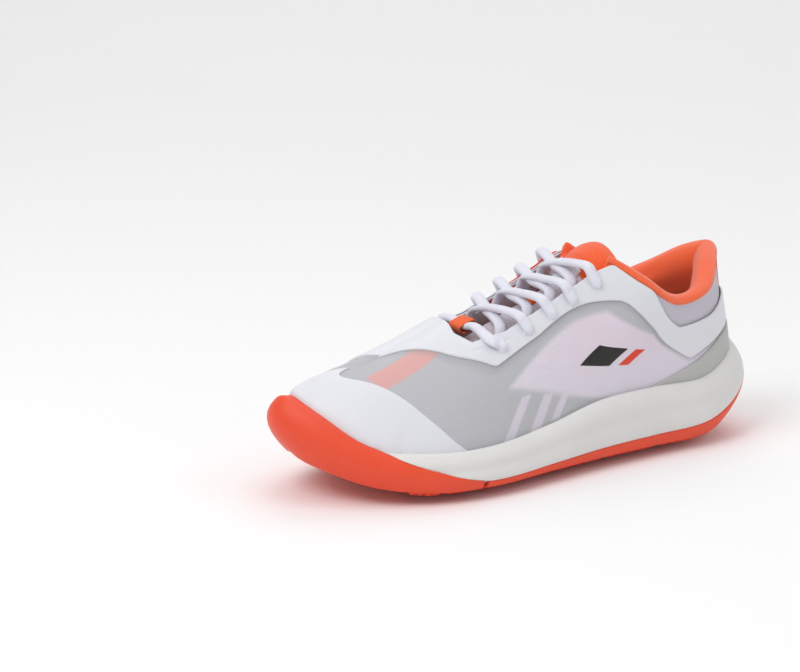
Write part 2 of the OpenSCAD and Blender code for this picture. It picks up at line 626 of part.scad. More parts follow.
BAR_MIDDLE = [-34.5, 2, 75.4];
BAR_HALF = 9;
RIBBON = [13, 12, 7.6];
RIBBON_WALL = 1.2;
RIBBON_LEAN = -21;
module throat_ribbon() {
    color("orange") translate(BAR_MIDDLE) rotate([0, RIBBON_LEAN, 0]) difference() {
        cube(RIBBON, center = true);
        cube([RIBBON[0] - 2 * RIBBON_WALL, RIBBON[1] + 2, RIBBON[2] - 2 * RIBBON_WALL], center = true);
    }
}

// --- Lace ---

LACE_UNDER = -6.4;
LACE_OVER = 4.8;
LACE_OVER_SADDLE = 6.6;
CROSS_LOW = -0.1;
CROSS_HIGH = 3.9;
SHOULDER_LIFT = 1.2;
// Where each end of the lace is tucked behind the eyelets: along, down and in from the last one
TUCK = [[0.006, 0.14, 9.2], [0.012, 0.3, 8.6]];
function over(side, i) = side > 0 && i > 1 ? LACE_OVER_SADDLE : LACE_OVER;
function hole_top(side, i) = let (e = eyelet(side, i)) layer(e[0], e[1], over(side, i));
function hole_under(side, i) = let (e = eyelet(side, i)) layer(e[0], e[1], LACE_UNDER);
function edge_over(side, i) = let (e = eyelet(side, i)) layer(e[0], e[1] + 0.1, over(side, i));
function edge_under(side, i) = let (e = eyelet(side, i)) layer(e[0], e[1] + 0.07, LACE_UNDER - 0.4);
function cross_z(x) = lookup(x, [[-30, 76], [-14, 82.5], [2, 89], [18, 96], [33, 104]]);
function middle(a, b, lift) = let (m = (a + b) / 2) [m[0], m[1], cross_z(m[0]) + lift];

// From one eyelet under the throat's edge, across, and over the other edge to the next eyelet
function crossing(side, i) = let (a = edge_under(side, i), b = edge_over(-side, i + 1),
        m = middle(a, b, side < 0 ? CROSS_LOW : CROSS_HIGH))
    [hole_top(side, i), hole_under(side, i), a, (a + m) / 2 + [0, 0, SHOULDER_LIFT], m, b];
function tucked_end(side) = let (i = EYELETS - 1, e = eyelet(side, i))
    [hole_top(side, i), hole_under(side, i), layer(e[0] + TUCK[0][0] * side, e[1] - TUCK[0][1], -TUCK[0][2]),
        layer(e[0] + TUCK[1][0] * side, e[1] - TUCK[1][1], -TUCK[1][2])];
function half_lace(side) = concat([for (i = [0 : EYELETS - 2]) each crossing(i % 2 == 0 ? side : -side, i)],
    tucked_end(EYELETS % 2 == 1 ? side : -side));
function reversed(list) = [for (i = [len(list) - 1 : -1 : 0]) list[i]];
function bar_end(side) = [edge_over(side, 0), BAR_MIDDLE + [0, side * BAR_HALF, 0]];
LACE_ROUTE = concat(reversed(half_lace(-1)), bar_end(-1), reversed(bar_end(1)), half_lace(1));

// The route with each corner rounded off over the distance r
function rounded(path, r) = concat([path[0]], [for (i = [1 : len(path) - 2])
    let (p = path[i], a = path[i - 1] - p, b = path[i + 1] - p,
        ra = min(r, norm(a) * 0.45), rb = min(r, norm(b) * 0.45),
        pa = p + unit(a) * ra, pb = p + unit(b) * rb) each [pa, (pa + 2 * p + pb) / 4, pb]],
    [path[len(path) - 1]]);
LACE_PATH = rounded(LACE_ROUTE, 3);
LACE_SIDES = 8;
AGLET_D = 2.6;
AGLET_LENGTH = 14;

module lace() {
    color("white") tube(LACE_PATH, lace_d, LACE_SIDES);
}

module lace_aglets() {
    n = len(LACE_PATH);
    color("silver") for (pair = [[LACE_PATH[0], LACE_PATH[1]], [LACE_PATH[n - 1], LACE_PATH[n - 2]]]) {
        d = unit(pair[0] - pair[1]);
        translate(pair[0]) rotate([0, acos(d[2]), atan2(d[1], d[0])])
            cylinder(d = AGLET_D, h = AGLET_LENGTH, $fn = 24);
    }
}

forefoot_outsole();
heel_outsole();
midsole();
midfoot_shank();
strobel_board();
insole();
knit_upper();
inner_lining();
heel_counter();
toe_puff();
collar_foam_pad();
collar_lining();
lateral_film();
toe_overlay();
eyestay_overlay();
medial_overlay();
medial_window_mesh();
medial_saddle();
heel_clip();
heel_strip();
side_mark();
eyelet_tape_lateral();
eyelet_tape_medial();
throat_ribbon();
tongue_body();
tongue_patch();
tongue_keeper();
lace();
lace_aglets();
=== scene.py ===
import math

import bmesh
import bpy
import numpy as np
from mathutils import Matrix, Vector


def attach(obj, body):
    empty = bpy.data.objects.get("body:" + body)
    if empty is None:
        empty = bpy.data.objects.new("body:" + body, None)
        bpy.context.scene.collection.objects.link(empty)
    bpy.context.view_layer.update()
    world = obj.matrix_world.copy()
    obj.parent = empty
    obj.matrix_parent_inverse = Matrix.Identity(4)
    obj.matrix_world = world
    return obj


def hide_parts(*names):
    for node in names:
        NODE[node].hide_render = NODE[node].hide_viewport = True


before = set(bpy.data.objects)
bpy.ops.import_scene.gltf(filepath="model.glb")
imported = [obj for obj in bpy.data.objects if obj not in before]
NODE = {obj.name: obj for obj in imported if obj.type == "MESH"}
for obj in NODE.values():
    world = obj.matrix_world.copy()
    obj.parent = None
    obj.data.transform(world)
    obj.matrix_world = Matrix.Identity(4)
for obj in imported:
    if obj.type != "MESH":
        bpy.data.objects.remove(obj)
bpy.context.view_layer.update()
MM = 0.001
AROUND, UP_SKIN = 760.0, 100.0  # about how many mm one unit of t, and of v, is on the shoe
FLAT = np.array([AROUND, UP_SKIN])
RIDGE_FROM = 0.37  # t where the throat ends and the two sides meet

# ---- shape of the shoe, in mm
# t runs round the outline from the heel along the outer side to the toe and back; rows are equal steps of t
# x, y, bottom z, bottom inset, widest z, rim inset, rim z, footbed z, top of the rubber
SOLE = np.array([
    [149, 0, 14, 12, 31, 8, 49, 27, 45], [138, -23, 7, 10, 26, 7, 44, 27, 24],
    [108, -36, 2, 5, 17, 6, 34, 26, 12], [70, -39, 2, 3, 16, 5, 34, 24, 10],
    [32, -43, 2, 3, 15, 5, 33, 21, 9], [-6, -49, 2, 3, 12, 5, 26, 17, 8],
    [-44, -55, 1.5, 3, 10, 5, 22, 14.5, 6], [-80, -53, 2, 3, 11, 5, 22, 15, 14],
    [-112, -39, 5, 5, 16, 5, 26, 18.5, 26], [-138, -16, 13, 9, 28, 5, 42.5, 26, 42.5],
    [-148.5, 6, 18, 12, 36, 6, 50, 30, 50], [-137, 28, 14, 10, 29, 5, 42, 27, 42],
    [-108, 44, 6, 5, 16, 5, 27, 19, 25], [-72, 53, 2, 3, 14, 4, 35, 15, 35],
    [-32, 49, 2, 3, 13, 4, 32, 15, 29], [6, 39, 2, 3, 14, 5, 33, 18, 9],
    [44, 34, 2, 3, 15, 5, 36, 21, 9], [80, 34, 2, 3, 16, 5, 36, 24, 10],
    [114, 33, 3, 6, 19, 6, 38, 26, 13], [140, 21, 8, 10, 26, 7, 44, 27, 26]], float)
# top line: x, y, z, then how far the skin leaves the footbed (out, up) and reaches the top line (out, up)
TOP = np.array([
    [131, 0, 101, 1, 30, 0, -20], [121.5, -15, 97, 1, 30, 2, -20], [104, -32, 85, 1, 26, 3, -14],
    [82, -34, 81, 1, 24, 4, -12], [60, -31, 95, 1, 26, 8, -14], [35, -9, 111, 1, 28, 20, -8],
    [2, 4, 102, 1, 26, 22, -2], [-30, 5, 84.5, 1, 22, 23, -2], [-60, 5, 70.5, 1, 25, 24, -1],
    [-90, 5, 60.5, 1, 22, 25, -1], [-116, 5, 57.5, 1, 18, 17, -1], [-90, 5, 60.5, 1, 22, 25, -1],
    [-60, 5, 70.5, 1, 25, 24, -1], [-30, 5, 84.5, 1, 22, 23, -2], [2, 4, 102, 1, 26, 22, -2],
    [35, 17, 111, 1, 28, 17, -8], [60, 31, 96, 1, 26, 8, -14], [82, 32, 82, 1, 24, 4, -12],
    [104, 30, 86, 1, 26, 3, -14], [121.5, 13.5, 98, 1, 30, 2, -20]], float)


def catmull(a, b, c, d, f):
    """A point f of the way from b to c on the smooth curve through a, b, c and d"""
    bend, twist = 2 * a - 5 * b + 4 * c - d, 3 * b - a - 3 * c + d
    return 0.5 * (2 * b + (c - a) * f + bend * f ** 2 + twist * f ** 3)


def at(tab, t):
    """The closed table tab, read smoothly at t round the outline"""
    n = len(tab)
    s = (np.asarray(t, float) % 1.0) * n
    i = np.floor(s).astype(int) % n
    return catmull(tab[(i - 1) % n], tab[i], tab[(i + 1) % n], tab[(i + 2) % n], (s - np.floor(s))[..., None])


def unit(v):
    return v / np.maximum(np.linalg.norm(v, axis=-1, keepdims=True), 1e-9)


def look(x, pts):
    """Straight lines through the (x, value) pairs"""
    p = np.array(pts, float)
    return np.interp(x, p[:, 0], p[:, 1])


def from_heel(t):
    """t folded so that both sides read alike: 0 at the heel's middle, 0.5 at the toe's tip"""
    u = np.asarray(t) % 1.0
    return np.minimum(u, 1 - u)


def feather_in(t):
    """How far inside the outline the upper meets the footbed"""
    return look(from_heel(t), [[0, 10.5], [0.35, 9.4], [0.42, 10], [0.46, 11.4]])


def edge(t):
    return at(SOLE, t)[..., :2]


def outward(t):
    d = edge(np.asarray(t) + 0.004) - edge(np.asarray(t) - 0.004)
    return unit(np.stack([-d[..., 1], d[..., 0]], -1))


def tucked(t, by, z):
    """The outline at t, moved in by the given mm, at height z"""
    t, by, z = np.broadcast_arrays(np.asarray(t, float), np.asarray(by, float), np.asarray(z, float))
    p = edge(t) - outward(t) * by[..., None]
    return np.concatenate([p, z[..., None]], -1)


def wall(t, s, by=0.0):
    """The sole's outer wall: s 0 at the ground, 0.5 at its widest, 1 at the rim, and by mm in from it"""
    t, s = np.broadcast_arrays(np.asarray(t, float), np.asarray(s, float))
    e = at(SOLE, t)
    lo, hi = (1 - s) * (1 - 2 * s), s * (2 * s - 1)
    return tucked(t, e[..., 3] * lo + e[..., 5] * hi + by,
                  e[..., 2] * lo + 4 * e[..., 4] * s * (1 - s) + e[..., 6] * hi)


def rubber_top(t):
    """How far up the wall the rubber reaches, as s"""
    e = at(SOLE, t)
    return np.clip((e[..., 8] - e[..., 2]) / (e[..., 6] - e[..., 2]), 0.26, 1)


def skin(t, v):
    """The upper's outer face: v 0 at the footbed, 1 at the top line or at the ridge over the toes"""
    t, v = np.broadcast_arrays(np.asarray(t, float), np.asarray(v, float))
    e, k = at(SOLE, t), at(TOP, t)
    foot = tucked(t, feather_in(t), e[..., 7])
    top = k[..., :3]
    out = unit(foot[..., :2] - top[..., :2])
    b = foot + np.concatenate([out * k[..., 3:4], k[..., 4:5]], -1)
    c = top + np.concatenate([out * k[..., 5:6], k[..., 6:7]], -1)
    v = v[..., None]
    w = 1 - v
    return w ** 3 * foot + 3 * w * w * v * b + 3 * w * v * v * c + v ** 3 * top


def slope(t, v):
    a = skin(t + 0.003, v) - skin(t - 0.003, v)
    b = skin(t, np.minimum(v + 0.02, 1)) - skin(t, np.maximum(v - 0.02, 0))
    return unit(np.cross(b, a))


def over_toes(t):
    """True where the two sides meet in a ridge instead of ending at the throat"""
    return from_heel(t) > RIDGE_FROM


def normal(t, v):
    """The skin's outward direction, shared by both sides where they meet along the ridge"""
    t, v = np.broadcast_arrays(np.asarray(t, float), np.asarray(v, float))
    n = slope(t, np.minimum(v, 0.97))
    m = unit(slope(t, np.full_like(v, 0.97)) + slope(1 - t, np.full_like(v, 0.97)))
    f = np.clip((v - 0.9) / 0.1, 0, 1)
    f = (f * f * (3 - 2 * f) * over_toes(t))[..., None]
    return unit(n * (1 - f) + m * f)


def layer(t, v, off):
    """The skin moved outwards by off mm"""
    off = np.asarray(off, float)
    return skin(t, v) + normal(t, v) * off[..., None]


def spot(t, v, off):
    """One point of layer()"""
    return layer(np.array([t]), np.array([v]), np.array([off], float))[0]


def throat(t):
    """The throat's edge, in v"""
    return look(from_heel(t), [[0.22, 1], [0.2285, 0.91], [0.244, 0.74], [0.261, 0.655], [0.2785, 0.61],
                               [0.303, 0.575], [0.332, 0.61], [0.354, 0.74], [0.374, 1]])


def eased(f, t, wide=0.006):
    """f(t) with its corners rounded over wide each side"""
    return sum(f(t + wide * k) * w for k, w in zip((-1, -0.66, -0.33, 0, 0.33, 0.66, 1),
                                                   (0.07, 0.13, 0.19, 0.22, 0.19, 0.13, 0.07)))


# ---- meshes
def make(name, verts, faces, mat, uv, masks=None, body="shoe"):
    """A mesh object from points in mm, with its flat coordinates and masks, riding on a body"""
    me = bpy.data.meshes.new(name)
    me.from_pydata([tuple(p * MM) for p in verts], [], faces)
    me.validate()
    layer_uv = me.uv_layers.new(name="UVMap")
    idx = np.zeros(len(me.loops), int)
    me.loops.foreach_get("vertex_index", idx)
    layer_uv.data.foreach_set("uv", np.asarray(uv, float)[idx].ravel())
    for key, val in (masks or {}).items():
        a = me.attributes.new(key, "FLOAT", "POINT")
        a.data.foreach_set("value", np.asarray(val, float))
    me.materials.append(mat)
    me.polygons.foreach_set("use_smooth", [True] * len(me.polygons))
    me.update()
    ob = bpy.data.objects.new(name, me)
    bpy.context.scene.collection.objects.link(ob)
    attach(ob, body)
    normals_out(ob)
    return ob


def normals_out(ob):
    bm = bmesh.new()
    bm.from_mesh(ob.data)
    bmesh.ops.recalc_face_normals(bm, faces=bm.faces)
    bm.to_mesh(ob.data)
    bm.free()


def grid_faces(rows, cols, wrap_rows=False, wrap_cols=False):
    out = []
    for i in range(rows if wrap_rows else rows - 1):
        for j in range(cols if wrap_cols else cols - 1):
            a, b = i * cols + j, i * cols + (j + 1) % cols
            c, d = ((i + 1) % rows) * cols + (j + 1) % cols, ((i + 1) % rows) * cols + j
            out.append((a, d, c, b))
    return out


def tube_faces(rows, cols):
    """A grid closed round its columns, with a cap at each end"""
    last = (rows - 1) * cols
    caps = [tuple(range(cols)), tuple(range(last + cols - 1, last - 1, -1))]
    return grid_faces(rows, cols, wrap_cols=True) + caps


def slab_faces(rows, cols, wrap_rows=False):
    """Two grids, the second numbered after the first, joined round their edges"""
    nn = rows * cols
    front = grid_faces(rows, cols, wrap_rows)
    faces = front + [tuple(x + nn for x in reversed(q)) for q in front]
    for i in range(rows if wrap_rows else rows - 1):
        a, b = i * cols, (i + 1) % rows * cols
        c, d = a + cols - 1, b + cols - 1
        faces += [(a, nn + a, nn + b, b), (c, d, nn + d, nn + c)]
    if not wrap_rows:
        for j in range(cols - 1):
            a = (rows - 1) * cols + j
            faces += [(j, j + 1, nn + j + 1, nn + j), (a, nn + a, nn + a + 1, a + 1)]
    return faces


EDGE_STEPS = np.array([0, 0.15, 0.4375, 1.0])
DEEP_IN = 9.0  # mm, past any rounding


def band(name, mat, t0, t1, lo, hi, off_in, off_out, nt, nv=24, rnd=0.7, ends=True, masks=None, shape=None):
    """A bonded sheet over the skin from t0 to t1 between lo(t) and hi(t), rounded at its edges"""
    closed = t1 - t0 >= 0.9999
    steps = EDGE_STEPS * rnd
    if closed:
        ts = np.linspace(t0, t1, nt, endpoint=False)
        dt = np.full(nt, DEEP_IN)
    else:
        s = steps / AROUND
        inner = np.linspace(t0 + s[-1], t1 - s[-1], nt)[1:-1]
        ts = np.concatenate([t0 + s, inner, t1 - s[::-1]])
        dt = np.minimum(ts - t0, t1 - ts) * AROUND if ends else np.full(len(ts), DEEP_IN)
    low, high = lo(ts), hi(ts)
    chord = skin(ts, np.clip(high, 0, 1)) - skin(ts, np.clip(low, 0, 1))
    length = np.linalg.norm(chord, axis=-1) * 1.05 + 1e-6
    sv = np.minimum(steps / length[:, None], 0.12)
    mid = np.linspace(0, 1, nv)[1:-1][None, :]
    f = np.concatenate([sv, sv[:, -1:] + (1 - 2 * sv[:, -1:]) * mid, 1 - sv[:, ::-1]], 1)
    v = low[:, None] + (high - low)[:, None] * f
    t = np.repeat(ts[:, None], v.shape[1], 1)
    dv = np.minimum(f, 1 - f) * length[:, None]
    on_ridge = over_toes(ts) & (high > 0.999)
    dv = np.where(on_ridge[:, None] & (f > 0.5), DEEP_IN, dv)
    d = np.minimum(dv, dt[:, None])
    full = np.sqrt(np.clip(1 - (1 - np.clip(d / rnd, 0, 1)) ** 2, 0, 1))
    o_in, o_out = (o(t) if callable(o) else o + 0 * t for o in (off_in, off_out))
    o = o_in + (o_out - o_in) * (0.15 + 0.85 * full)
    if shape is not None:
        o = o + shape(t, v)
    verts = np.concatenate([layer(t, v, o).reshape(-1, 3), layer(t, v, o_in).reshape(-1, 3)])
    uv = (np.stack([t, v], -1) * FLAT * MM).reshape(-1, 2)
    mk = {k: np.tile(fn(t, v).reshape(-1), 2) for k, fn in (masks or {}).items()}
    return make(name, verts, slab_faces(*v.shape, closed), mat, np.concatenate([uv, uv]), mk)


def rings(name, mat, ts, funcs, body="shoe"):
    """Closed rows of points funcs[j](ts), joined in order, the first and the last capped across"""
    P = np.stack([f(ts) for f in funcs], 1)
    rows, cols = P.shape[:2]
    faces = grid_faces(rows, cols, wrap_rows=True)
    for k, turn in ((0, 1), (cols - 1, -1)):
        for i in range(rows // 2):
            corners = dict.fromkeys((i, (i + 1) % rows, (rows - i - 1) % rows, (rows - i) % rows))
            if len(corners) >= 3:
                faces.append(tuple(x * cols + k for x in corners)[::turn])
    uv = np.stack([np.repeat(ts[:, None] * AROUND, cols, 1), P[..., 2]], -1).reshape(-1, 2) * MM
    return make(name, P.reshape(-1, 3), faces, mat, uv, None, body)


def squarish(x, power):
    """A sine or cosine made fuller, so that the ring it draws has rounded corners"""
    return np.sign(x) * np.abs(x) ** power


def flat_cord(name, mat, path, wide, thick, sides=20):
    """A flat-oval cord along path, its broad face turned along with it and drawn gently outwards"""
    tan = unit(np.gradient(path, axis=0))
    ups = []
    for p, d in zip(path, tan):
        want = unit(np.array([0, (p[1] - BAR_MID[1]) / LACE_SPREAD, 1.0]))
        want = want - d * np.dot(want, d)
        if ups:
            kept = unit(ups[-1] - d * np.dot(ups[-1], d))
            pull = 0.35 * want * np.dot(want, want)
            want = kept - pull if np.dot(want, kept) < 0 else kept + pull
        ups.append(unit(want))
    ups = np.array(ups)
    a = np.linspace(0, 2 * np.pi, sides, endpoint=False)
    across = squarish(np.cos(a), 0.9)[None, :, None] * wide[:, None, None] / 2
    over = squarish(np.sin(a), 0.9)[None, :, None] * thick[:, None, None] / 2
    P = path[:, None] + np.cross(tan, ups)[:, None] * across + ups[:, None] * over
    run = np.concatenate([[0], np.cumsum(np.linalg.norm(np.diff(path, axis=0), axis=1))])
    round_it = a / np.pi * (wide.mean() + thick.mean())
    uv = np.stack([np.repeat(run, sides), np.tile(round_it, len(path))], -1) * MM
    return make(name, P.reshape(-1, 3), tube_faces(len(path), sides), mat, uv)


def subdiv(ob):
    """One level of subdivision, applied"""
    m = ob.modifiers.new("Subdivision", "SUBSURF")
    m.levels = m.render_levels = 1
    dg = bpy.context.evaluated_depsgraph_get()
    dg.update()
    me = bpy.data.meshes.new_from_object(ob.evaluated_get(dg), preserve_all_data_layers=True, depsgraph=dg)
    old = ob.data
    ob.modifiers.clear()
    ob.data = me
    bpy.data.meshes.remove(old)


def spline(pts, n):
    """n points on a smooth open curve through pts"""
    p = np.asarray(pts, float)
    m = len(p)
    s = np.linspace(0, m - 1, n)
    i = np.minimum(np.floor(s).astype(int), m - 2)
    return catmull(p[np.maximum(i - 1, 0)], p[i], p[i + 1], p[np.minimum(i + 2, m - 1)], (s - i)[:, None])


# ---- materials
def srgb(r, g, b):
    def lin(c):
        c /= 255
        return c / 12.92 if c <= 0.04045 else ((c + 0.055) / 1.055) ** 2.4
    return (lin(r), lin(g), lin(b), 1.0)


class Mat:
    """One node material, built from noise, weave, masks and bumps"""

    def __init__(self, name, rough=0.5, spec=0.5, sheen=0.0, sss=0.0):
        self.m = bpy.data.materials.new(name)
        self.m.use_nodes = True
        self.nt = self.m.node_tree
        self.b = self.nt.nodes["Principled BSDF"]
        self.b.inputs["Roughness"].default_value = rough
        self.b.inputs["Specular IOR Level"].default_value = spec
        self.b.inputs["Sheen Weight"].default_value = sheen
        self.b.inputs["Sheen Roughness"].default_value = 0.5
        if sss:
            self.b.inputs["Subsurface Weight"].default_value = sss
            self.b.inputs["Subsurface Radius"].default_value = (0.004, 0.003, 0.0025)
            self.b.inputs["Subsurface Scale"].default_value = 1.0
        self.height = None

    def node(self, kind, **settings):
        n = self.nt.nodes.new(kind)
        for k, v in settings.items():
            setattr(n, k, v)
        return n

    def feed(self, socket, x):
        """Links x into the socket, or sets the socket when x is a plain value"""
        if isinstance(x, (int, float, tuple)):
            socket.default_value = x
        else:
            self.nt.links.new(x, socket)

    def noise(self, scale, detail=3, rough=0.6):
        n = self.node("ShaderNodeTexNoise")
        n.inputs["Scale"].default_value = scale
        n.inputs["Detail"].default_value = detail
        n.inputs["Roughness"].default_value = rough
        self.feed(n.inputs["Vector"], self.node("ShaderNodeTexCoord").outputs["Object"])
        return n.outputs["Fac"]

    def math(self, op, a, b=0.0):
        n = self.node("ShaderNodeMath", operation=op)
        self.feed(n.inputs[0], a)
        self.feed(n.inputs[1], b)
        return n.outputs[0]

    def add(self, a, b):
        return self.math("ADD", a, b)

    def mul(self, a, b):
        return self.math("MULTIPLY", a, b)

    def mix(self, fac, a, b):
        n = self.node("ShaderNodeMix", data_type="RGBA")
        for k, x in ((0, fac), (6, a), (7, b)):
            self.feed(n.inputs[k], x)
        return n.outputs[2]

    def ramp(self, fac, lo, hi):
        n = self.node("ShaderNodeMapRange", interpolation_type="SMOOTHSTEP")
        n.inputs["From Min"].default_value = lo
        n.inputs["From Max"].default_value = hi
        self.feed(n.inputs["Value"], fac)
        return n.outputs["Result"]

    def attr(self, name):
        return self.node("ShaderNodeAttribute", attribute_name=name).outputs["Fac"]

    def weave(self, pitch, diagonal=True):
        """Woven cells of the given pitch in mm, 0 to 1, on the piece's own flat coordinates"""
        sp = self.node("ShaderNodeSeparateXYZ")
        self.feed(sp.inputs[0], self.node("ShaderNodeTexCoord").outputs["UV"])
        u, v = sp.outputs[0], sp.outputs[1]
        if diagonal:
            u, v = self.add(u, v), self.math("SUBTRACT", u, v)
        u, v = (self.math("SINE", self.mul(x, 2 * math.pi / (pitch * MM))) for x in (u, v))
        return self.add(self.mul(self.mul(u, v), 0.5), 0.5)

    def bump(self, h, strength, dist):
        n = self.node("ShaderNodeBump")
        n.inputs["Strength"].default_value = strength
        n.inputs["Distance"].default_value = dist
        self.feed(n.inputs["Height"], h)
        if self.height is not None:
            self.feed(n.inputs["Normal"], self.height)
        self.height = n.outputs["Normal"]
        self.feed(self.b.inputs["Normal"], self.height)

    def color(self, c):
        self.feed(self.b.inputs["Base Color"], c)

    def rough(self, r):
        self.feed(self.b.inputs["Roughness"], r)


def rubber(name, base, dark, gloss=0.45):
    m = Mat(name, gloss, 0.4)
    big = m.noise(38, 4, 0.6)
    fine = m.noise(900, 3, 0.6)
    m.color(m.mix(m.mul(big, 0.55), base, dark))
    m.rough(m.add(m.mul(fine, 0.22), gloss - 0.08))
    m.bump(fine, 0.12, 0.0003)
    m.bump(m.noise(160, 2), 0.05, 0.0008)
    return m.m


def foam(name, base, warm):
    m = Mat(name, 0.42, 0.35, sss=0.12)
    big = m.noise(22, 3, 0.55)
    fine = m.noise(1400, 2, 0.5)
    m.color(m.mix(m.ramp(big, 0.2, 0.8), base, warm))
    m.rough(m.add(m.mul(fine, 0.2), 0.36))
    m.bump(fine, 0.1, 0.0002)
    m.bump(m.noise(60, 2), 0.06, 0.001)
    return m.m


def film(name, base, tint, rough=0.38, grain=0.16):
    m = Mat(name, rough, 0.45)
    big = m.noise(30, 3)
    m.color(m.mix(m.mul(big, 0.5), base, tint))
    fine = m.noise(1100, 3, 0.7)
    m.rough(m.add(m.mul(fine, 0.18), rough - 0.06))
    m.bump(fine, grain, 0.0002)
    m.bump(m.noise(95, 2), 0.07, 0.0008)
    return m.m


def cloth(name, base, deep, pitch=1.1, strength=0.5, sheen=0.35, diagonal=True, spots=0.25):
    m = Mat(name, 0.8, 0.25, sheen=sheen)
    h = m.weave(pitch, diagonal)
    fuzz = m.noise(2200, 2, 0.7)
    col = m.mix(m.mul(h, 0.8), deep, base)
    m.color(m.mix(m.mul(m.noise(45), spots), col, deep))
    m.bump(fuzz, 0.25, 0.0003)
    m.bump(h, strength, 0.0004)
    return m.m


M = {
    "rubber": rubber("outsole_rubber", srgb(240, 84, 50), srgb(222, 62, 36)),
    "foam": foam("midsole_foam", srgb(228, 227, 225), srgb(222, 221, 219)),
    "white": film("white_film", srgb(226, 227, 232), srgb(218, 219, 226)),
    "saddle": film("saddle_film", srgb(242, 82, 46), srgb(226, 64, 34)),
    "clip": film("clip_plastic", srgb(188, 188, 186), srgb(172, 172, 172), 0.45),
    "black": film("mark_black", srgb(26, 24, 22), srgb(36, 34, 32), 0.42),
    "mark_orange": film("mark_orange", srgb(226, 66, 38), srgb(210, 50, 28), 0.42),
    "collar": cloth("collar_cloth", srgb(255, 124, 78), srgb(250, 98, 54), 0.9, 0.35, 0.5),
    "mesh_red": cloth("lining_mesh", srgb(226, 56, 34), srgb(150, 24, 16), 2.0, 0.8, 0.2),
    "knit": cloth("heel_knit", srgb(242, 238, 245), srgb(192, 187, 204), 3.4, 1.0, 0.3, spots=0.15),
    "insole": cloth("insole_cloth", srgb(120, 122, 130), srgb(86, 88, 96), 0.9, 0.4, 0.3),
    "tape": cloth("woven_tape", srgb(226, 226, 228), srgb(198, 198, 202), 0.8, 0.4, 0.2),
    "ribbon": cloth("ribbon_cloth", srgb(255, 116, 30), srgb(244, 88, 14), 1.0, 0.7, 0.3, False, 0.15),
    "board": cloth("board_fibre", srgb(214, 206, 184), srgb(190, 182, 160), 0.7, 0.3, 0.1),
    "stiff": film("stiffener_sheet", srgb(205, 205, 200), srgb(190, 190, 186), 0.55),
    "shank": film("shank_plastic", srgb(40, 42, 46), srgb(52, 54, 58), 0.3),
    "softfoam": cloth("open_foam", srgb(236, 170, 110), srgb(214, 140, 84), 1.4, 0.5, 0.1),
    "aglet": film("aglet_plastic", srgb(225, 226, 230), srgb(208, 210, 216), 0.2),
}


def lace_material():
    m = Mat("lace_cloth", 0.75, 0.3, sheen=0.3)
    h = m.weave(1.5)
    col = m.mix(m.mul(h, 0.7), srgb(226, 226, 240), srgb(248, 248, 255))
    m.color(m.mix(m.mul(m.noise(70, 2), 0.3), col, srgb(228, 228, 240)))
    m.bump(m.noise(2500, 2), 0.2, 0.0002)
    m.bump(h, 0.55, 0.0004)
    return m.m


def side_material():
    """Fine grey mesh under clear film, with paler panels where the mask says, and painted shade under the
    eyestay's edge
    """
    m = Mat("lateral_mesh", 0.5, 0.4, sheen=0.15)
    h = m.weave(1.5)
    grey = m.mix(h, srgb(168, 168, 174), srgb(207, 207, 213))
    grey = m.mix(m.mul(m.noise(34), 0.4), grey, srgb(186, 186, 190))
    blush = m.mul(m.ramp(m.noise(26, 2, 0.5), 0.2, 0.8), m.attr("blush"))
    lilac = m.mix(h, srgb(214, 206, 220), srgb(234, 228, 238))
    lilac = m.mix(m.mul(blush, 0.7), lilac, srgb(240, 200, 212))
    col = m.mix(m.attr("window"), grey, lilac)
    col = m.mix(m.mul(m.attr("stripe"), 0.75), col, srgb(232, 162, 154))
    # painted shade: the mesh colour darkened under the eyestay's edge by the shade mask
    col = m.mix(m.mul(m.attr("shade"), 0.5), col, srgb(150, 150, 154))
    m.color(col)
    m.rough(m.add(m.mul(h, 0.15), 0.42))
    m.bump(m.noise(1600, 2), 0.15, 0.0002)
    m.bump(h, 0.35, 0.0003)
    return m.m


def tongue_material():
    m = Mat("tongue_cloth", 0.82, 0.25, sheen=0.4)
    h = m.weave(1.3)
    white = m.mix(h, srgb(206, 190, 200), srgb(240, 236, 244))
    orange = m.mix(h, srgb(236, 74, 30), srgb(255, 112, 54))
    m.color(m.mix(m.attr("orange"), white, orange))
    m.bump(m.noise(2200, 2), 0.2, 0.0003)
    m.bump(h, 0.4, 0.0004)
    return m.m


M["lace"] = lace_material()
M["side"] = side_material()
M["tongue"] = tongue_material()


# ---- where the skin meets the sole's rim
TT = np.linspace(0, 1, 481)
VV = np.linspace(0, 0.6, 121)


def rim_table():
    """For each of TT, the v at which the skin passes the height of the sole's rim"""
    out = []
    for t in TT:
        z = skin(np.full_like(VV, t), VV)[:, 2]
        rim = at(SOLE, t)[6]
        k = np.argmax(z > rim)
        out.append(VV[k] if z[k] > rim else 0.0)
    return np.array(out)


RIM_V = rim_table()


def v_rim(t, lift=0.0):
    return np.interp(np.asarray(t) % 1.0, TT, RIM_V) + lift


def smooth01(x, a, b):
    f = np.clip((x - a) / (b - a), 0, 1)
    return f * f * (3 - 2 * f)


# ---- sole
SPLIT, GAP = -55.0, 1.5  # x of the split between the two rubber parts, and half its width
WALL = 1.8  # thickness of the rubber on the foam
PAST_END = 300.0
RING_T = np.linspace(0, 1, 520, endpoint=False)
TREAD = (-95.0, 102.0)  # x of its two ends
EDGE_BLOCKS = 160
BAR_PITCH, BAR_HALF, BAR_SLANT = 8.4, 2.7, math.radians(60)


def full_rubber(t):
    return smooth01(rubber_top(t), 0.86, 0.97)


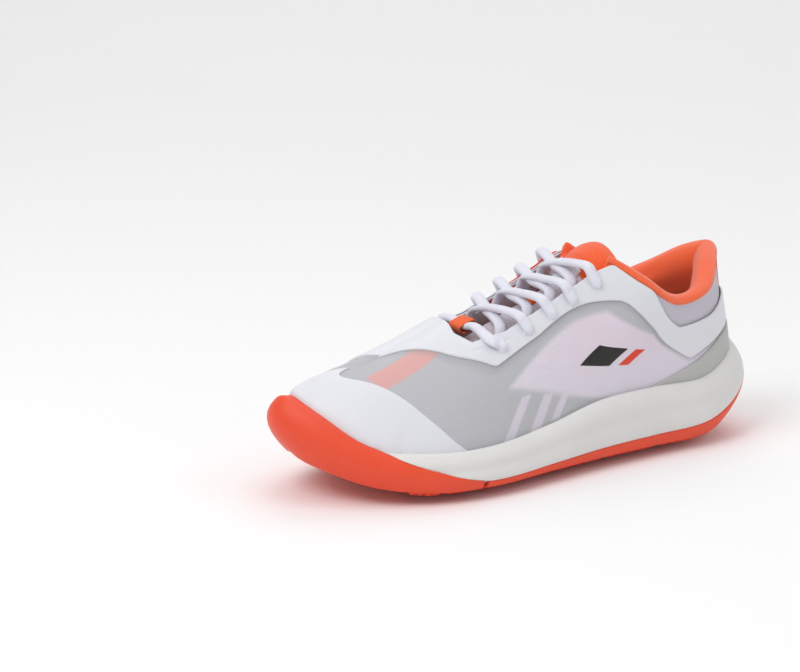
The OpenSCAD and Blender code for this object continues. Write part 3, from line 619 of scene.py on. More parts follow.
def rubber_rim(t, k):
    """The rubber's upper edge, closing on the toe cap where it stands as high as the rim"""
    a = wall(t, rubber_top(t) + 0.004, 0.8 + (WALL - 0.9) * k)
    b = layer(t, v_rim(t), np.full(np.shape(t), 2.2))
    b[..., 2] = a[..., 2] - 0.2 - 1.0 * k
    f = (full_rubber(t) * (0.4 + 0.6 * k))[..., None]
    return a * (1 - f) + b * f


def tray_rows():
    """The rubber's section: under the sole, up the wall, over the edge and down the inside"""
    rows = [lambda t: tucked(t, at(SOLE, t)[..., 3] + 6, at(SOLE, t)[..., 2] - 0.1),
            lambda t: tucked(t, at(SOLE, t)[..., 3] + 1.6, at(SOLE, t)[..., 2])]
    for s in (0.03, 0.1, 0.2, 0.32, 0.45, 0.58, 0.7, 0.82, 0.92, 0.975):
        rows.append(lambda t, s=s: wall(t, rubber_top(t) * s))
    return rows + [lambda t: wall(t, rubber_top(t), 0.25),
                   lambda t: wall(t, rubber_top(t) + 0.008, 0.8),
                   lambda t: rubber_rim(t, 0.5),
                   lambda t: rubber_rim(t, 1.0),
                   lambda t: wall(t, rubber_top(t) * 0.9, WALL + 0.2),
                   lambda t: wall(t, rubber_top(t) * 0.6, WALL + 0.2),
                   lambda t: wall(t, 0.08, WALL + 0.6) + np.array([0, 0, 1.6])]


def inside(p, poly):
    """Which of the points p lie inside the outline"""
    hit = np.zeros(p.shape[:-1], bool)
    for a, b in zip(poly, np.roll(poly, -1, 0)):
        if a[1] != b[1]:
            level = (a[1] > p[..., 1]) != (b[1] > p[..., 1])
            hit ^= level & (p[..., 0] < (b[0] - a[0]) * (p[..., 1] - a[1]) / (b[1] - a[1]) + a[0])
    return hit


def add_prism(bm, quad, z0, z1, ch):
    """A low bar with chamfered lower edges"""
    c = np.mean(quad, axis=0)
    small = [c + (q - c) * (1 - ch / max(np.linalg.norm(q - c), 1)) for q in quad]
    lo, waist, hi = [[bm.verts.new((q[0] * MM, q[1] * MM, z * MM)) for q in ring]
                     for ring, z in ((small, z0), (quad, z0 + ch), (quad, z1))]
    bm.faces.new(lo[::-1])
    bm.faces.new(hi)
    for k in range(4):
        j = (k + 1) % 4
        bm.faces.new((lo[k], lo[j], waist[j], waist[k]))
        bm.faces.new((waist[k], waist[j], hi[j], hi[k]))


def edge_blocks(bm, ta, tb, top):
    """A band of blocks round the edge, every eighth left out"""
    ts = np.linspace(0, 1, EDGE_BLOCKS, endpoint=False)
    out, inn = tucked(ts, 7, 0)[:, :2], tucked(ts, 13, 0)[:, :2]
    for i in range(EDGE_BLOCKS):
        j = (i + 1) % EDGE_BLOCKS
        quad = [out[i], out[j], inn[j], inn[i]]
        xs = [p[0] for p in quad]
        if min(xs) >= ta and max(xs) <= tb and i % 8 != 7:
            add_prism(bm, quad, float(np.interp(xs[0], [-97, -82], [1.9, 0.0])), top, 0.35)


def tread_bars(bm, ta, tb, top):
    """Slanted bars in lengths of about 14 mm, a herringbone inside the band of blocks"""
    field = tucked(np.linspace(0, 1, 96, endpoint=False), 15, 0)[:, :2]
    for x in np.arange(ta - 60, tb + 10, BAR_PITCH):
        for turn in (-1, 1):
            d = np.array([math.cos(BAR_SLANT), turn * math.sin(BAR_SLANT)])
            half = np.array([-d[1], d[0]]) * BAR_HALF
            base = np.array([x, 1.5 * turn])
            run = np.arange(0, 62, 1.0)
            spots = base + d * run[:, None]
            run = run[inside(spots, field) & (spots[:, 0] > ta + 3) & (spots[:, 0] < tb - 3)]
            if len(run) < 5:
                continue
            cuts = np.linspace(run[0], run[-1], max(2, int((run[-1] - run[0]) / 14) + 1))
            for u, w in zip(cuts[:-1], cuts[1:]):
                a, b = base + d * (u + 0.7), base + d * (w - 0.7)
                add_prism(bm, [a - half, b - half, b + half, a + half][::turn], 0.0, top, 0.5)


def outsole(name, node, x0, x1):
    """One part of the rubber: the tray between x0 and x1, with its tread"""
    ob = rings(name, M["rubber"], RING_T, tray_rows())
    bm = bmesh.new()
    bm.from_mesh(ob.data)
    for x, sign in ((x0, -1), (x1, 1)):
        if abs(x) < PAST_END:
            bmesh.ops.bisect_plane(bm, geom=bm.verts[:] + bm.edges[:] + bm.faces[:], dist=1e-6,
                                   plane_co=(x * MM, 0, 0), plane_no=(sign, 0, 0), clear_outer=True)
            cut = [e for e in bm.edges if e.is_boundary]
            bmesh.ops.holes_fill(bm, edges=cut, sides=0)
    ta, tb = max(x0, TREAD[0]), min(x1, TREAD[1])
    top = float(np.interp(0.5 * (ta + tb), [-100, 0, 110], [3.8, 3.2, 3.8]))
    edge_blocks(bm, ta, tb, top)
    tread_bars(bm, ta, tb, top)
    bm.to_mesh(ob.data)
    bm.free()
    normals_out(ob)
    ob.data.polygons.foreach_set("use_smooth", [True] * len(ob.data.polygons))
    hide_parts(node)
    return ob


outsole("forefoot_outsole_rubber", "forefoot_outsole", -PAST_END, SPLIT - GAP)
outsole("heel_outsole_rubber", "heel_outsole", SPLIT + GAP, PAST_END)


def sole_relief(t, s):
    """The flute along the outer wall and the soft swell over it, in mm outwards"""
    u = np.asarray(t) % 1.0
    side = smooth01(u, 0.02, 0.1) * (1 - smooth01(u, 0.36, 0.44))
    inner = smooth01(u, 0.66, 0.72) * (1 - smooth01(u, 0.9, 0.97))
    flute = -0.9 * np.exp(-((s - 0.62) / 0.1) ** 2) + 0.5 * np.exp(-((s - 0.85) / 0.09) ** 2)
    return flute * np.clip(side + inner, 0, 1)


def midsole_rows():
    """The foam's section: behind the rubber, up the wall, over the rim and in to the footbed"""
    skirt = WALL + 0.25

    def w(t, s, off=0.0):
        """The wall from the rubber's edge (s 0) to the rim (s 1)"""
        up = np.minimum(rubber_top(t) + (1 - rubber_top(t)) * s, 1.0)
        full = full_rubber(t)
        return wall(t, up, full * skirt + off - sole_relief(t, up) * (1 - full))

    def lip(t, k, dz):
        a = w(t, 1.0, 0.9)
        b = layer(t, v_rim(t, -0.005), np.full(np.shape(t), 0.9))
        p = a * (1 - k) + b * k
        p[..., 2] = a[..., 2] + dz - 2.2 * full_rubber(t)
        return p

    rows = [lambda t: wall(t, 0.12, skirt + 0.5) + np.array([0, 0, 1.0])]
    rows += [lambda t, s=s: wall(t, rubber_top(t) * s, skirt) for s in (0.85, 0.985)]
    for s, off in ((0, 0.9), (0.02, 0.25), (0.06, 0.02), (0.13, 0), (0.22, 0), (0.32, 0), (0.42, 0),
                   (0.52, 0), (0.62, 0), (0.72, 0), (0.8, 0), (0.88, 0), (0.94, 0.05), (0.98, 0.35)):
        rows.append(lambda t, s=s, off=off: w(t, s, off))
    for k, dz in ((0.0, 0.2), (0.35, 0.35), (0.75, 0.15), (1.0, -0.5)):
        rows.append(lambda t, k=k, dz=dz: lip(t, k, dz))
    return rows + [lambda t: tucked(t, feather_in(t) + 0.4, at(SOLE, t)[..., 7] - 1.5)]


mid = rings("midsole_foam_body", M["foam"], RING_T, midsole_rows())
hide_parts("midsole")

# ---- upper
knit = band("knit_upper_shell", M["knit"], 0, 1, lambda t: 0.0 * t, lambda t: eased(throat, t, 0.004),
            -1.2, 0.0, nt=460, nv=40)
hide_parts("knit_upper")


def pad_low(t):
    """Where the collar's padding ends inside, in v"""
    return look(from_heel(t), [[0, 0.62], [0.15, 0.6], [0.23, 0.72]])


def lining_depth(t):
    return look(from_heel(t), [[0.115, 3.5], [0.16, 1.7], [0.415, 1.7], [0.44, 3.5]])


def lining_top(t):
    return np.where(from_heel(t) < 0.235, pad_low(t) + 0.04, throat(t))


lining = band("inner_lining_mesh", M["mesh_red"], 0, 1, lambda t: 0.03 + 0 * t, lining_top,
              lambda t: -lining_depth(t) - 1.1, lambda t: -lining_depth(t), nt=360, nv=26)
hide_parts("inner_lining")


def toe_edge(t):
    """The cap's edge on the outer side, from the sole up to the ridge"""
    return look(t, [[0.31, 0.0], [0.323, 0.075], [0.352, 0.24], [0.382, 0.385], [0.413, 0.52], [0.44, 0.635],
                    [0.452, 0.695], [0.4605, 0.77], [0.465, 0.85], [0.4665, 0.92], [0.467, 1.0]])


def inner_split(t):
    """Where the cap and the inner side's overlay meet"""
    return look(t, [[0.5, 1.0], [0.533, 1.0], [0.5335, 0.92], [0.535, 0.83], [0.541, 0.72], [0.55, 0.66],
                    [0.575, 0.6], [0.62, 0.54], [0.7, 0.42], [0.74, 0.3]])


def eyestay_low(t):
    return look(t, [[-0.05, 0.46], [0, 0.46], [0.0755, 0.395], [0.1, 0.345], [0.1172, 0.3], [0.142, 0.487],
                    [0.1673, 0.655], [0.186, 0.722], [0.203, 0.765], [0.209, 0.765], [0.2207, 0.712],
                    [0.2445, 0.608], [0.2683, 0.507], [0.3048, 0.431], [0.353, 0.603], [0.397, 0.78],
                    [0.425, 0.9], [0.44, 0.985]])


def eyestay_high(t):
    t = np.asarray(t)
    back = look(t, [[0.09, 0.655], [0.136, 0.672], [0.186, 0.965]])
    return np.where(t > 0.372, 1.0, np.where(t > 0.2265, np.minimum(throat(t) - 0.004, 1.0), back))


def poly_mask(t, v, pts, soft=2.0):
    """1 inside the outline, falling to 0 over soft mm, measured in the flat (t, v) of the side"""
    p, q = np.stack([t, v], -1) * FLAT, np.array(pts) * FLAT
    d = np.full(t.shape, 1e9)
    for a, b in zip(q, np.roll(q, -1, 0)):
        ab = b - a
        h = np.clip(((p - a) @ ab) / (ab @ ab), 0, 1)
        d = np.minimum(d, np.linalg.norm(p - a - h[..., None] * ab, axis=-1))
    return np.clip(0.5 + np.where(inside(p, q), d, -d) / soft, 0, 1)


WINDOW = [(0.29, 0.325), (0.216, 0.665), (0.165, 0.6), (0.112, 0.3), (0.06, 0.38), (-0.01, 0.4),
          (-0.01, 0.2), (0.07, 0.2), (0.1156, 0.033), (0.2, 0.16)]
BARS = [[(0.268, 0.27), (0.277, 0.27), (0.296, 0.02), (0.286, 0.02)],
        [(0.247, 0.25), (0.256, 0.25), (0.268, 0.06), (0.258, 0.06)],
        [(0.231, 0.24), (0.238, 0.24), (0.247, 0.11), (0.239, 0.11)]]
STRIPE = [(0.4270, 0.62), (0.4060, 0.47), (0.3600, 0.66), (0.3870, 0.80)]


def m_window(t, v):
    m = poly_mask(t, v, WINDOW, 3.0)
    for b in BARS:
        m = np.maximum(m, poly_mask(t, v, b, 1.2) * 0.75)
    return m


def m_blush(t, v):
    return np.clip(1.2 - np.hypot((t - 0.215) * AROUND / 45, (v - 0.52) * UP_SKIN / 22), 0, 1)


def m_stripe(t, v):
    return poly_mask(t, v, STRIPE, 1.5)


def m_painted_shade(t, v):
    """Painted shade: the mesh's colour is darkened just under the eyestay's edge, where its shadow falls"""
    d = (eased(eyestay_low, t) - v) * UP_SKIN
    return np.clip(1 - d / 5.0, 0, 1) * (t < 0.45)


side = band("lateral_mesh_film", M["side"], -0.02, 0.476, lambda t: v_rim(t, -0.03),
            lambda t: np.minimum(eased(eyestay_low, t) + 0.05, 1.0), 0.1, 0.8, nt=420, nv=64, ends=False,
            masks={"window": m_window, "blush": m_blush, "stripe": m_stripe, "shade": m_painted_shade})
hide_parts("lateral_film")


def toe_hi(t):
    return np.where(t < 0.5, toe_edge(t), inner_split(t) + 0.03 * smooth01(t, 0.58, 0.588))


def toe_swell(t, v):
    """The cap is fullest just above the rubber"""
    return 1.7 * full_rubber(t) * np.exp(-((v - v_rim(t)) / 0.12) ** 2)


toe = band("toe_overlay_film", M["white"], 0.313, 0.752,
           lambda t: np.minimum(v_rim(t, -0.05 * full_rubber(t) - 0.02), toe_hi(t) - 0.01),
           lambda t: eased(toe_hi, t, 0.0022), 0.82, 1.65, nt=900, nv=40, ends=False, shape=toe_swell)
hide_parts("toe_overlay")

window = band("medial_window", M["side"], 0.524, 0.61, lambda t: inner_split(t) - 0.06, lambda t: 1.0 + 0 * t,
              0.1, 0.8, nt=120, nv=30, ends=False,
              masks={key: lambda t, v: 0 * t for key in ("window", "blush", "stripe", "shade")})
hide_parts("medial_window_mesh")


def groove(t, v, below, t0, t1, t2, t3):
    """A pressed line along the throat, below it in v, fading in from t0 to t1 and out from t2 to t3"""
    line = np.exp(-(((throat(t) - below - v) * UP_SKIN) / 0.55) ** 2)
    return line * smooth01(t, t0, t1) * (1 - smooth01(t, t2, t3))


def eyestay_relief(t, v):
    return -0.28 * groove(t, v, 0.052, 0.29, 0.3, 0.352, 0.358)


eyestay = band("eyestay_overlay_film", M["white"], -0.012, 0.4405, lambda t: eased(eyestay_low, t, 0.0045),
               lambda t: eased(eyestay_high, t, 0.003), 0.82, 1.85, nt=400, nv=34, shape=eyestay_relief)


def medial_low(t):
    slant = 1.0 - (1.0 - inner_split(0.585)) * np.clip((t - 0.563) / 0.022, 0, 1)
    split = np.where(t < 0.742, inner_split(t) + 0.004, v_rim(t, -0.02))
    return np.where(t < 0.585, np.minimum(slant, 0.995), split)


def medial_high(t):
    top = np.where(t < 0.628, 1.0, np.minimum(throat(t) - 0.004, 1.0))
    back = look(t, [[0.776, 0.965], [0.8, 0.9], [0.845, 0.6], [0.862, 0.16]])
    return np.where(t > 0.776, np.minimum(top, back), top)


def medial_relief(t, v):
    """Rows of faint tapered blocks pressed into the inner side"""
    out = np.zeros(t.shape)
    for tc, v0, v1 in ((0.664, 0.34, 0.58), (0.682, 0.3, 0.6), (0.7, 0.26, 0.6), (0.718, 0.22, 0.6),
                       (0.736, 0.18, 0.58)):
        for k in range(3):
            a = v0 + (v1 - v0) * k / 3
            b = v0 + (v1 - v0) * (k + 0.78) / 3
            w = 0.006 - 0.001 * k
            head, u = tc + 0.002, w * 0.7
            out -= 0.22 * poly_mask(t, v, [(tc - w, a), (tc + w, a), (head + u, b), (head - u, b)], 0.8)
    low = (v - medial_low(t)) * UP_SKIN
    return out - 0.22 * groove(t, v, 0.05, 0.64, 0.645, 0.70, 0.71) - 0.19 * np.exp(-low / 4.0)


medial = band("medial_overlay_film", M["white"], 0.5632, 0.862,
              lambda t: np.minimum(eased(medial_low, t, 0.003), medial_high(t) - 0.01),
              lambda t: eased(medial_high, t, 0.003), 0.82, 1.85, nt=330, nv=64, rnd=0.3, shape=medial_relief)


def saddle_low(t):
    return look(t, [[0.735, 0.62], [0.752, 0.34], [0.815, 0.3], [0.83, 0.42]])


def saddle_high(t):
    return look(t, [[0.735, 0.64], [0.7405, 0.66], [0.7565, 0.75], [0.77, 0.9], [0.775, 0.93], [0.8, 0.86],
                    [0.83, 0.44]])


def saddle_relief(t, v):
    """A line pressed in parallel to the saddle's edge"""
    m = poly_mask(t, v, [(0.762, 0.72), (0.781, 0.8), (0.811, 0.42), (0.772, 0.4)], 0.9)
    n = poly_mask(t, v, [(0.7645, 0.69), (0.7795, 0.755), (0.806, 0.445), (0.775, 0.43)], 0.9)
    return -0.3 * (m - n)


saddle = band("medial_saddle_film", M["saddle"], 0.736, 0.829, lambda t: eased(saddle_low, t, 0.002),
              lambda t: eased(saddle_high, t, 0.003), 1.8, 2.7, nt=120, nv=44, shape=saddle_relief)
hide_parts("eyestay_overlay")
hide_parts("medial_overlay")
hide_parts("medial_saddle")


def clip_top(t):
    return look(from_heel(t), [[0, 0.42], [0.04, 0.41], [0.075, 0.37], [0.1, 0.29], [0.135, 0.19],
                               [0.16, 0.12]])


clip = band("heel_clip_plastic", M["clip"], -0.135, 0.152, lambda t: v_rim(t, -0.02),
            lambda t: np.maximum(eased(clip_top, t, 0.005), v_rim(t, 0.01)),
            0.82, 2.1, nt=160, nv=20, rnd=1.0)
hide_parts("heel_clip")


def slanted(name, mat, corner, off_in=0.78, off_out=1.05, n=24):
    """A four-cornered printed film on the side, given by its corners in (t, v)"""
    c = np.array(corner, float)
    u, w = (x[..., None] for x in np.meshgrid(np.linspace(0, 1, n), np.linspace(0, 1, n), indexing="ij"))
    p = (1 - u) * (1 - w) * c[0] + u * (1 - w) * c[1] + u * w * c[2] + (1 - u) * w * c[3]
    d = np.minimum(np.minimum(u, 1 - u), np.minimum(w, 1 - w))[..., 0] * 14
    o = off_in + (off_out - off_in) * np.clip(0.3 + d, 0, 1)
    verts = np.concatenate([layer(p[..., 0], p[..., 1], x).reshape(-1, 3) for x in (o, off_in + 0 * o)])
    uv = (p * FLAT * MM).reshape(-1, 2)
    return make(name, verts, slab_faces(n, n), mat, np.concatenate([uv, uv]))


mark = slanted("side_mark_long", M["black"],
               [(0.2265, 0.36), (0.1995, 0.36), (0.187, 0.475), (0.214, 0.475)])
mark2 = slanted("side_mark_short", M["mark_orange"],
                [(0.191, 0.36), (0.181, 0.36), (0.1685, 0.475), (0.1785, 0.475)])
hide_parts("side_mark")

# strip down the back of the heel
strip = band("heel_strip_cloth", M["collar"], -0.0075, 0.012, lambda t: 0.645 + 0 * t,
             lambda t: 0.985 + 0 * t, 0.05, 1.5, nt=14, nv=30, rnd=1.0)
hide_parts("heel_strip")


# ---- collar
COLLAR_END = 0.229  # t of its front ends
def collar_out(t):
    """How far down the outside the padded collar reaches, in v"""
    return look(from_heel(t), [[0, 0.08], [0.015, 0.05], [0.035, 0.015], [0.08, 0.01], [0.12, 0.03],
                               [0.15, 0.045], [0.19, 0.04], [0.226, 0.03]])


def collar_thick(t):
    return look(from_heel(t), [[0, 10.5], [0.12, 10.5], [0.19, 9], [0.226, 6.5], [0.24, 5]])


def collar_section(t):
    """Across the collar at t: down the outside a little, over the top line and down the inside, then back"""
    end = max(min(1.0, (COLLAR_END - abs(t)) / 0.02), 0)
    th = float(collar_thick(t)) * (0.35 + 0.65 * math.sqrt(end))
    co, low = float(collar_out(t)), float(pad_low(t))
    n = normal(t, 0.96)
    flat = unit(np.array([n[0], n[1], 0.0]))
    top, up = skin(t, 1.0), np.array([0, 0, 1.0])
    slim = smooth01(abs(t), 0.0, 0.05) * (1 - smooth01(abs(t), 0.07, 0.13))
    h = 1.3 + 0.24 * th - 0.7 * slim
    face = [spot(t, 1 - co, 0.3), spot(t, 1 - co * 0.55, 0.85), top + flat * 0.9 + up * 0.1,
            top + flat * (-0.1 * th + 0.5) + up * h * 0.75, top - flat * th * 0.42 + up * h,
            top - flat * th * 0.85 + up * h * 0.5, top - flat * (th * 1.12) - up * 4.0,
            spot(t, low + (1 - low) * 0.62, -th * 1.25), spot(t, low + (1 - low) * 0.3, -th * 1.12),
            spot(t, low + (1 - low) * 0.06, -th * 0.85 - 1.5), spot(t, low - 0.03, -5.2)]
    back = [spot(t, low, -3.6), spot(t, 0.85, -2.2), spot(t, 1 - co, -0.35)]
    return np.concatenate([spline(face, 34), spline(back, 8)])


def collar_piece():
    """A soft roll over the top line, from one front end round the heel to the other"""
    ts = np.linspace(-COLLAR_END, COLLAR_END, 260)
    P = np.array([collar_section(t) for t in ts])
    r, c = P.shape[:2]
    tt, jj = np.repeat(ts, c), np.tile(np.arange(c), r)
    # small soft creases where the foam bends
    wob = 0.16 * np.sin(tt * 97 + np.sin(jj * 0.3) * 1.5) * np.exp(-((jj - 20) / 6.0) ** 2)
    verts = P.reshape(-1, 3) + unit(P - P.mean(1, keepdims=True)).reshape(-1, 3) * wob[:, None]
    uv = np.stack([tt * AROUND, jj * 1.6], -1) * MM
    ob = make("collar_padding", verts, tube_faces(r, c), M["collar"], uv)
    subdiv(ob)
    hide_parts("collar_lining")
    return ob


collar_piece()

# ---- tongue
# x and z of its middle line, in rows 0 to 7
TONGUE = np.array([[-45, 66], [-30, 71.5], [-14, 78], [2, 84.5], [18, 91.5], [33, 99.5], [45, 109.5],
                   [54, 116]], float)
TONGUE_END = 6.5
TONGUE_RING = 40


def tongue_row(k):
    """Point and upward direction of the tongue's middle line at row k, as x and z"""
    i = int(min(math.floor(k), 6))
    p = catmull(TONGUE[max(i - 1, 0)], TONGUE[i], TONGUE[i + 1], TONGUE[min(i + 2, 7)], k - i)
    q = TONGUE[i + 1] - TONGUE[i]
    return p, np.array([-q[1], q[0]]) / np.hypot(*q)


def tongue_rise(k):
    """How far the padding stands over the middle line, in mm"""
    return look(k, [[0, 0.2], [0.4, -2.2], [4.2, -2.2], [4.9, 0.4], [5.6, 1.4], [6.2, -0.6], [6.8, -4.0]])


def tongue_surface(k, w, depth):
    """k along, w across from -1 to 1, depth below the upper face in mm"""
    p, n = tongue_row(k)
    half = look(k, [[0, 13], [2, 15], [3, 16], [4.4, 16], [5.2, 18], [5.8, 21], [6.3, 20.5], [6.5, 18]])
    drop = look(k, [[0, 12], [2, 13], [4, 13], [5, 11], [5.6, 9], [6.2, 8]])
    return np.array([p[0] - n[0] * depth, 1.0 + w * half, p[1] - n[1] * depth - drop * w * w])


def tongue_piece():
    """The padded tongue: ring after ring from the throat to its rounded top end"""
    ks = np.concatenate([np.linspace(0, 5, 56), np.linspace(5.05, TONGUE_END + 0.3, 36)])
    over_end = tongue_row(TONGUE_END)[1]
    points, tint = [], []
    for k in ks:
        thick = look(k, [[0, 4], [1, 6], [4, 6.5], [4.9, 7], [5.3, 9], [5.9, 11], [6.4, 9], [6.8, 3.0]])
        for j in range(TONGUE_RING):
            a = 2 * math.pi * j / TONGUE_RING
            w, s = math.cos(a), math.sin(a)
            depth = (1 - squarish(s, 0.75)) * thick / 2
            # quilted channels across the white part
            if s > 0 and k < 5.1:
                depth += 0.35 * (0.5 + 0.5 * math.cos(2 * math.pi * k)) ** 8 * (1 - w * w)
            p = tongue_surface(min(k, TONGUE_END), squarish(w, 0.8), depth - tongue_rise(k))
            past = max(k - TONGUE_END, 0) * 6.0
            points.append(p + np.array([over_end[1], 0, -over_end[0]]) * past)
            edge_orange = smooth01(abs(w), 0.72, 0.78) * (s > -0.3)
            tint.append(max(smooth01(k, 5.0, 5.1), edge_orange, float(s < -0.2)))
    n = len(ks)
    uv = np.stack([np.repeat(ks * 16, TONGUE_RING), np.tile(np.arange(TONGUE_RING) * 1.1, n)], -1) * MM
    ob = make("tongue_padding", np.array(points), tube_faces(n, TONGUE_RING), M["tongue"], uv,
              {"orange": np.array(tint)}, body="tongue")
    subdiv(ob)
    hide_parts("tongue_body")
    return ob


tongue_piece()


def tongue_plate(name, mat, k0, k1, half, up, thick, node):
    """A thin piece sewn on the tongue's upper face, from row k0 to k1 and half its width each side"""
    nk, nw = 16, 14
    top, bot, uv = [], [], []
    for i in range(nk + 1):
        k = k0 + (k1 - k0) * i / nk
        for j in range(nw + 1):
            w = half * (2 * j / nw - 1)
            e = min(min(i, nk - i) / 1.5, min(j, nw - j) / 1.5, 1)
            foot = tongue_rise(k) + up
            top.append(tongue_surface(k, w, -(foot + thick * math.sqrt(max(e, 0.05)))))
            bot.append(tongue_surface(k, w, -foot))
            uv.append((k * 16 * MM, j * MM))
    ob = make(name, np.array(top + bot), slab_faces(nk + 1, nw + 1), mat, np.array(uv + uv), body="tongue")
    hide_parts(node)
    return ob


tongue_plate("tongue_front_patch", M["white"], 4.35, 5.18, 0.55, 0.1, 0.9, "tongue_patch")
tongue_plate("tongue_lace_keeper", M["ribbon"], 3.02, 3.48, 0.34, 0.25, 0.8, "tongue_keeper")

# ---- laces
EYELET_AT = [[0.303, 0.51], [0.28, 0.545], [0.262, 0.59], [0.246, 0.65], [0.231, 0.77]]
LACE_W, LACE_T = 6.6, 4.2
LACE_SPREAD = 22.0  # mm off the middle where the lace leans by 45 degrees
RAISE = np.array([0, 0, 1.0])
BAR_MID = np.array([-34.5, 2.0, 75.4])
RIBBON_LEAN = -21


def eyelet(side_y, i):
    """Eyelet i on the outer (-1) or inner (1) side, in (t, v)"""
    t, v = EYELET_AT[i]
    return (t, v) if side_y < 0 else (1 - t, v + 0.01)


def lift(side_y, i):
    """What the lace lies on over the skin: the film, and on the inner side the saddle as well"""
    return 2.75 if side_y > 0 and i > 1 else 1.9


def cross_z(x):
    """Height of the lace's crossings over the tongue"""
    return look(x, [[-30, 76], [-14, 82.5], [2, 89], [18, 96], [33, 104]])


def half_route(start):
    """From the bottom eyelet on side start up to the tucked end; each entry is (point, width, thickness)"""
    out = []
    here = start
    for i in range(4):
        t, v = eyelet(here, i)
        up = lift(here, i)
        out += [(spot(t, v - 0.003, up + 1.1), 6.0, 4.2), (spot(t, v - 0.008, -1.0), 4.6, 4.0),
                (spot(t, v + 0.03, -5.6), 5.0, 3.4)]
        a = spot(t - 0.002 * here, v + 0.12, -5.4)
        there = -here
        t, v = eyelet(there, i + 1)
        up = lift(there, i + 1)
        hole = spot(t, v, up + 1.6)
        b = spot(t + 0.0105 * here, v + 0.068, up + 1.8)
        m = (a + b) / 2
        m[2] = cross_z(m[0]) + (-2.0 if here < 0 else 1.7)
        out.append((a, LACE_W, 3.0))
        out += full_width((a + m) / 2 + RAISE, m, m * 0.45 + b * 0.55 + RAISE / 2, b, hole * 0.5 + b * 0.5)
        here = there
    t, v = eyelet(here, 4)
    return out + [(spot(t, v - 0.002, lift(here, 4) + 0.9), 5.6, 3.6), (spot(t, v - 0.006, -0.5), 4.6, 3.6),
                  (spot(t, v - 0.04, -5.5), 4.6, 3.3), (spot(t + 0.006 * here, v - 0.14, -8.6), 4.6, 3.0),
                  (spot(t + 0.012 * here, v - 0.3, -8.2), 2.8, 2.6)]


def full_width(*points):
    return [(p, LACE_W, LACE_T) for p in points]


def lace_route():
    """The whole lace: up the outer side's half backwards, the straight bar, and the inner side's half"""
    (tl, vl), (tr, vr) = eyelet(-1, 0), eyelet(1, 0)
    bar = [(spot(tl + 0.004, vl + 0.018, 3.6), LACE_W, 3.3)]
    bar += full_width(spot(tl + 0.012, vl + 0.05, 3.9))
    sag = ((1.2, -11, 0.6), (0, -5.5, 0.3), (0, 0, 0), (0, 5.5, 0.3), (1, 11, 0.6))
    bar += full_width(*(BAR_MID + np.array(d) for d in sag))
    bar += full_width(spot(tr - 0.012, vr + 0.05, 3.9))
    bar.append((spot(tr - 0.004, vr + 0.018, 3.6), LACE_W, 3.3))
    return half_route(-1)[::-1] + bar + half_route(1)


knots = np.array([[*p, wide, thick] for p, wide, thick in lace_route()])
route = spline(knots, (len(knots) - 1) * 7 + 1)
lace = flat_cord("shoe_lace", M["lace"], route[:, :3], route[:, 3], route[:, 4])
subdiv(lace)
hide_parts("lace")


def ribbon_piece():
    """Woven loop that holds the lowest run of the lace at the throat"""
    n = 48
    a = np.linspace(0, 2 * np.pi, n, endpoint=False)
    prof_x, prof_z = squarish(np.cos(a), 0.55), squarish(np.sin(a), 0.55)
    lean = math.radians(RIBBON_LEAN)
    rows = []
    for y in np.linspace(-1, 1, 15):
        sag = 0.5 * (1 - y * y)
        x, z = prof_x * (5.6 + 0.2 * sag), prof_z * (2.75 + 0.35 * sag)
        rows.append(BAR_MID + np.stack([x * math.cos(lean) + z * math.sin(lean), np.full(n, y * 6.0),
                                        z * math.cos(lean) - x * math.sin(lean)], -1))
    outer = np.array(rows)
    cen = outer.mean(1, keepdims=True)
    inner = cen + (outer - cen) * np.array([0.84, 1, 0.72])
    both = np.concatenate([outer, inner[::-1]])
    r = len(both)
    uv = np.stack([np.repeat(np.arange(r) * 0.8, n), np.tile(a * 4.2, r)], -1) * MM
    faces = grid_faces(r, n, wrap_rows=True, wrap_cols=True)
    ob = make("throat_ribbon_loop", both.reshape(-1, 3), faces, M["ribbon"], uv)
    subdiv(ob)
    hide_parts("throat_ribbon")
    return ob


ribbon_piece()


# ---- insole
def insole_rows():
    """The insole's section: how far inside the upper, and how high over the footbed"""
    return [lambda t, by=by, z=z: tucked(t, feather_in(t) + by, at(SOLE, t)[..., 7] + z)
            for by, z in ((9.5, 0.1), (7.3, 0.1), (6.7, 0.6), (6.6, 2.0), (6.7, 3.4), (7.4, 4.0), (9.5, 4.05),
                          (14, 3.9))]


insole = rings("insole_cushion", M["insole"], np.linspace(0, 1, 300, endpoint=False), insole_rows(), "insole")
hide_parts("insole")

# ---- pieces kept from the CAD
KEEP = {"midfoot_shank": "shank", "strobel_board": "board", "heel_counter": "stiff", "toe_puff": "stiff",
        "collar_foam_pad": "softfoam", "eyelet_tape_lateral": "tape", "eyelet_tape_medial": "tape",
        "lace_aglets": "aglet"}
for node, key in KEEP.items():
    ob = NODE[node]
    ob.data.materials.clear()
    ob.data.materials.append(M[key])

# ---- stage, camera and lights
AZ, EL, DIST, FOV = -31, 14, 1.3314, 18
TARGET = Vector((-0.07464, 0.0, 0.07469))

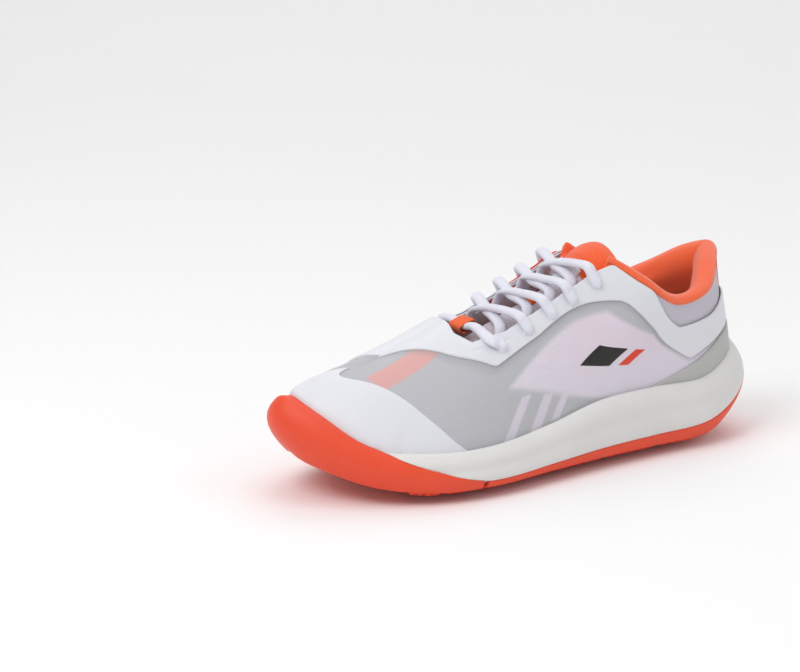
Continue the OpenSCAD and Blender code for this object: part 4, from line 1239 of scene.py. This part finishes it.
floor_mat = Mat("floor_paper", 0.9, 0.1)
floor_mat.color(floor_mat.mix(floor_mat.noise(2.0, 2), srgb(250, 250, 250), srgb(246, 246, 247)))
me = bpy.data.meshes.new("floor")
sweep = spline([(-3.0, 0.0), (1.2, 0.0), (2.0, 0.06), (2.6, 0.35), (2.95, 0.9), (3.0, 2.6)], 40)
me.from_pydata([(x, y, z) for y, z in sweep for x in np.linspace(-4, 4, 9)], [], grid_faces(40, 9))
me.polygons.foreach_set("use_smooth", [True] * len(me.polygons))
me.materials.append(floor_mat.m)
floor = bpy.data.objects.new("floor", me)
floor.rotation_euler = (0, 0, math.radians(AZ))
bpy.context.scene.collection.objects.link(floor)

world = bpy.data.worlds.new("studio")
bpy.context.scene.world = world
world.use_nodes = True
bg = world.node_tree.nodes["Background"]
bg.inputs["Color"].default_value = (1, 1, 1, 1)
bg.inputs["Strength"].default_value = 0.5


def towards(az, el):
    """Unit direction from the shoe at an azimuth and elevation in radians"""
    return Vector((math.sin(az) * math.cos(el), -math.cos(az) * math.cos(el), math.sin(el)))


def aim(ob, target, az, el, dist):
    """Put a lamp or camera at dist m from the target and turn it to face it"""
    ob.location = target + towards(math.radians(az), math.radians(el)) * dist
    ob.rotation_euler = (target - ob.location).to_track_quat("-Z", "Y").to_euler()
    bpy.context.scene.collection.objects.link(ob)


def area_light(name, az, el, dist, size, power, target=(0, 0, 0.05)):
    d = bpy.data.lights.new(name, "AREA")
    d.shape = "DISK"
    d.size = size
    d.energy = power
    aim(bpy.data.objects.new(name, d), Vector(target), az, el, dist)


area_light("key", -75, 48, 1.6, 0.9, 9)
area_light("fill", 40, 35, 1.8, 1.4, 3)
area_light("top", 10, 80, 1.7, 1.2, 3.5)
area_light("paper_far", 0, 88, 2.6, 2.4, 20, (1.1, 1.9, 0))
area_light("paper_near", 0, 88, 2.6, 1.6, 4, (-0.9, 0.6, 0))

cam_data = bpy.data.cameras.new("camera")
cam_data.sensor_fit = "HORIZONTAL"
cam_data.angle = math.radians(FOV)
cam_data.clip_start = 0.01
cam = bpy.data.objects.new("camera", cam_data)
aim(cam, TARGET, AZ, EL, DIST)
bpy.context.scene.camera = cam
bpy.context.scene.view_settings.view_transform = "Standard"
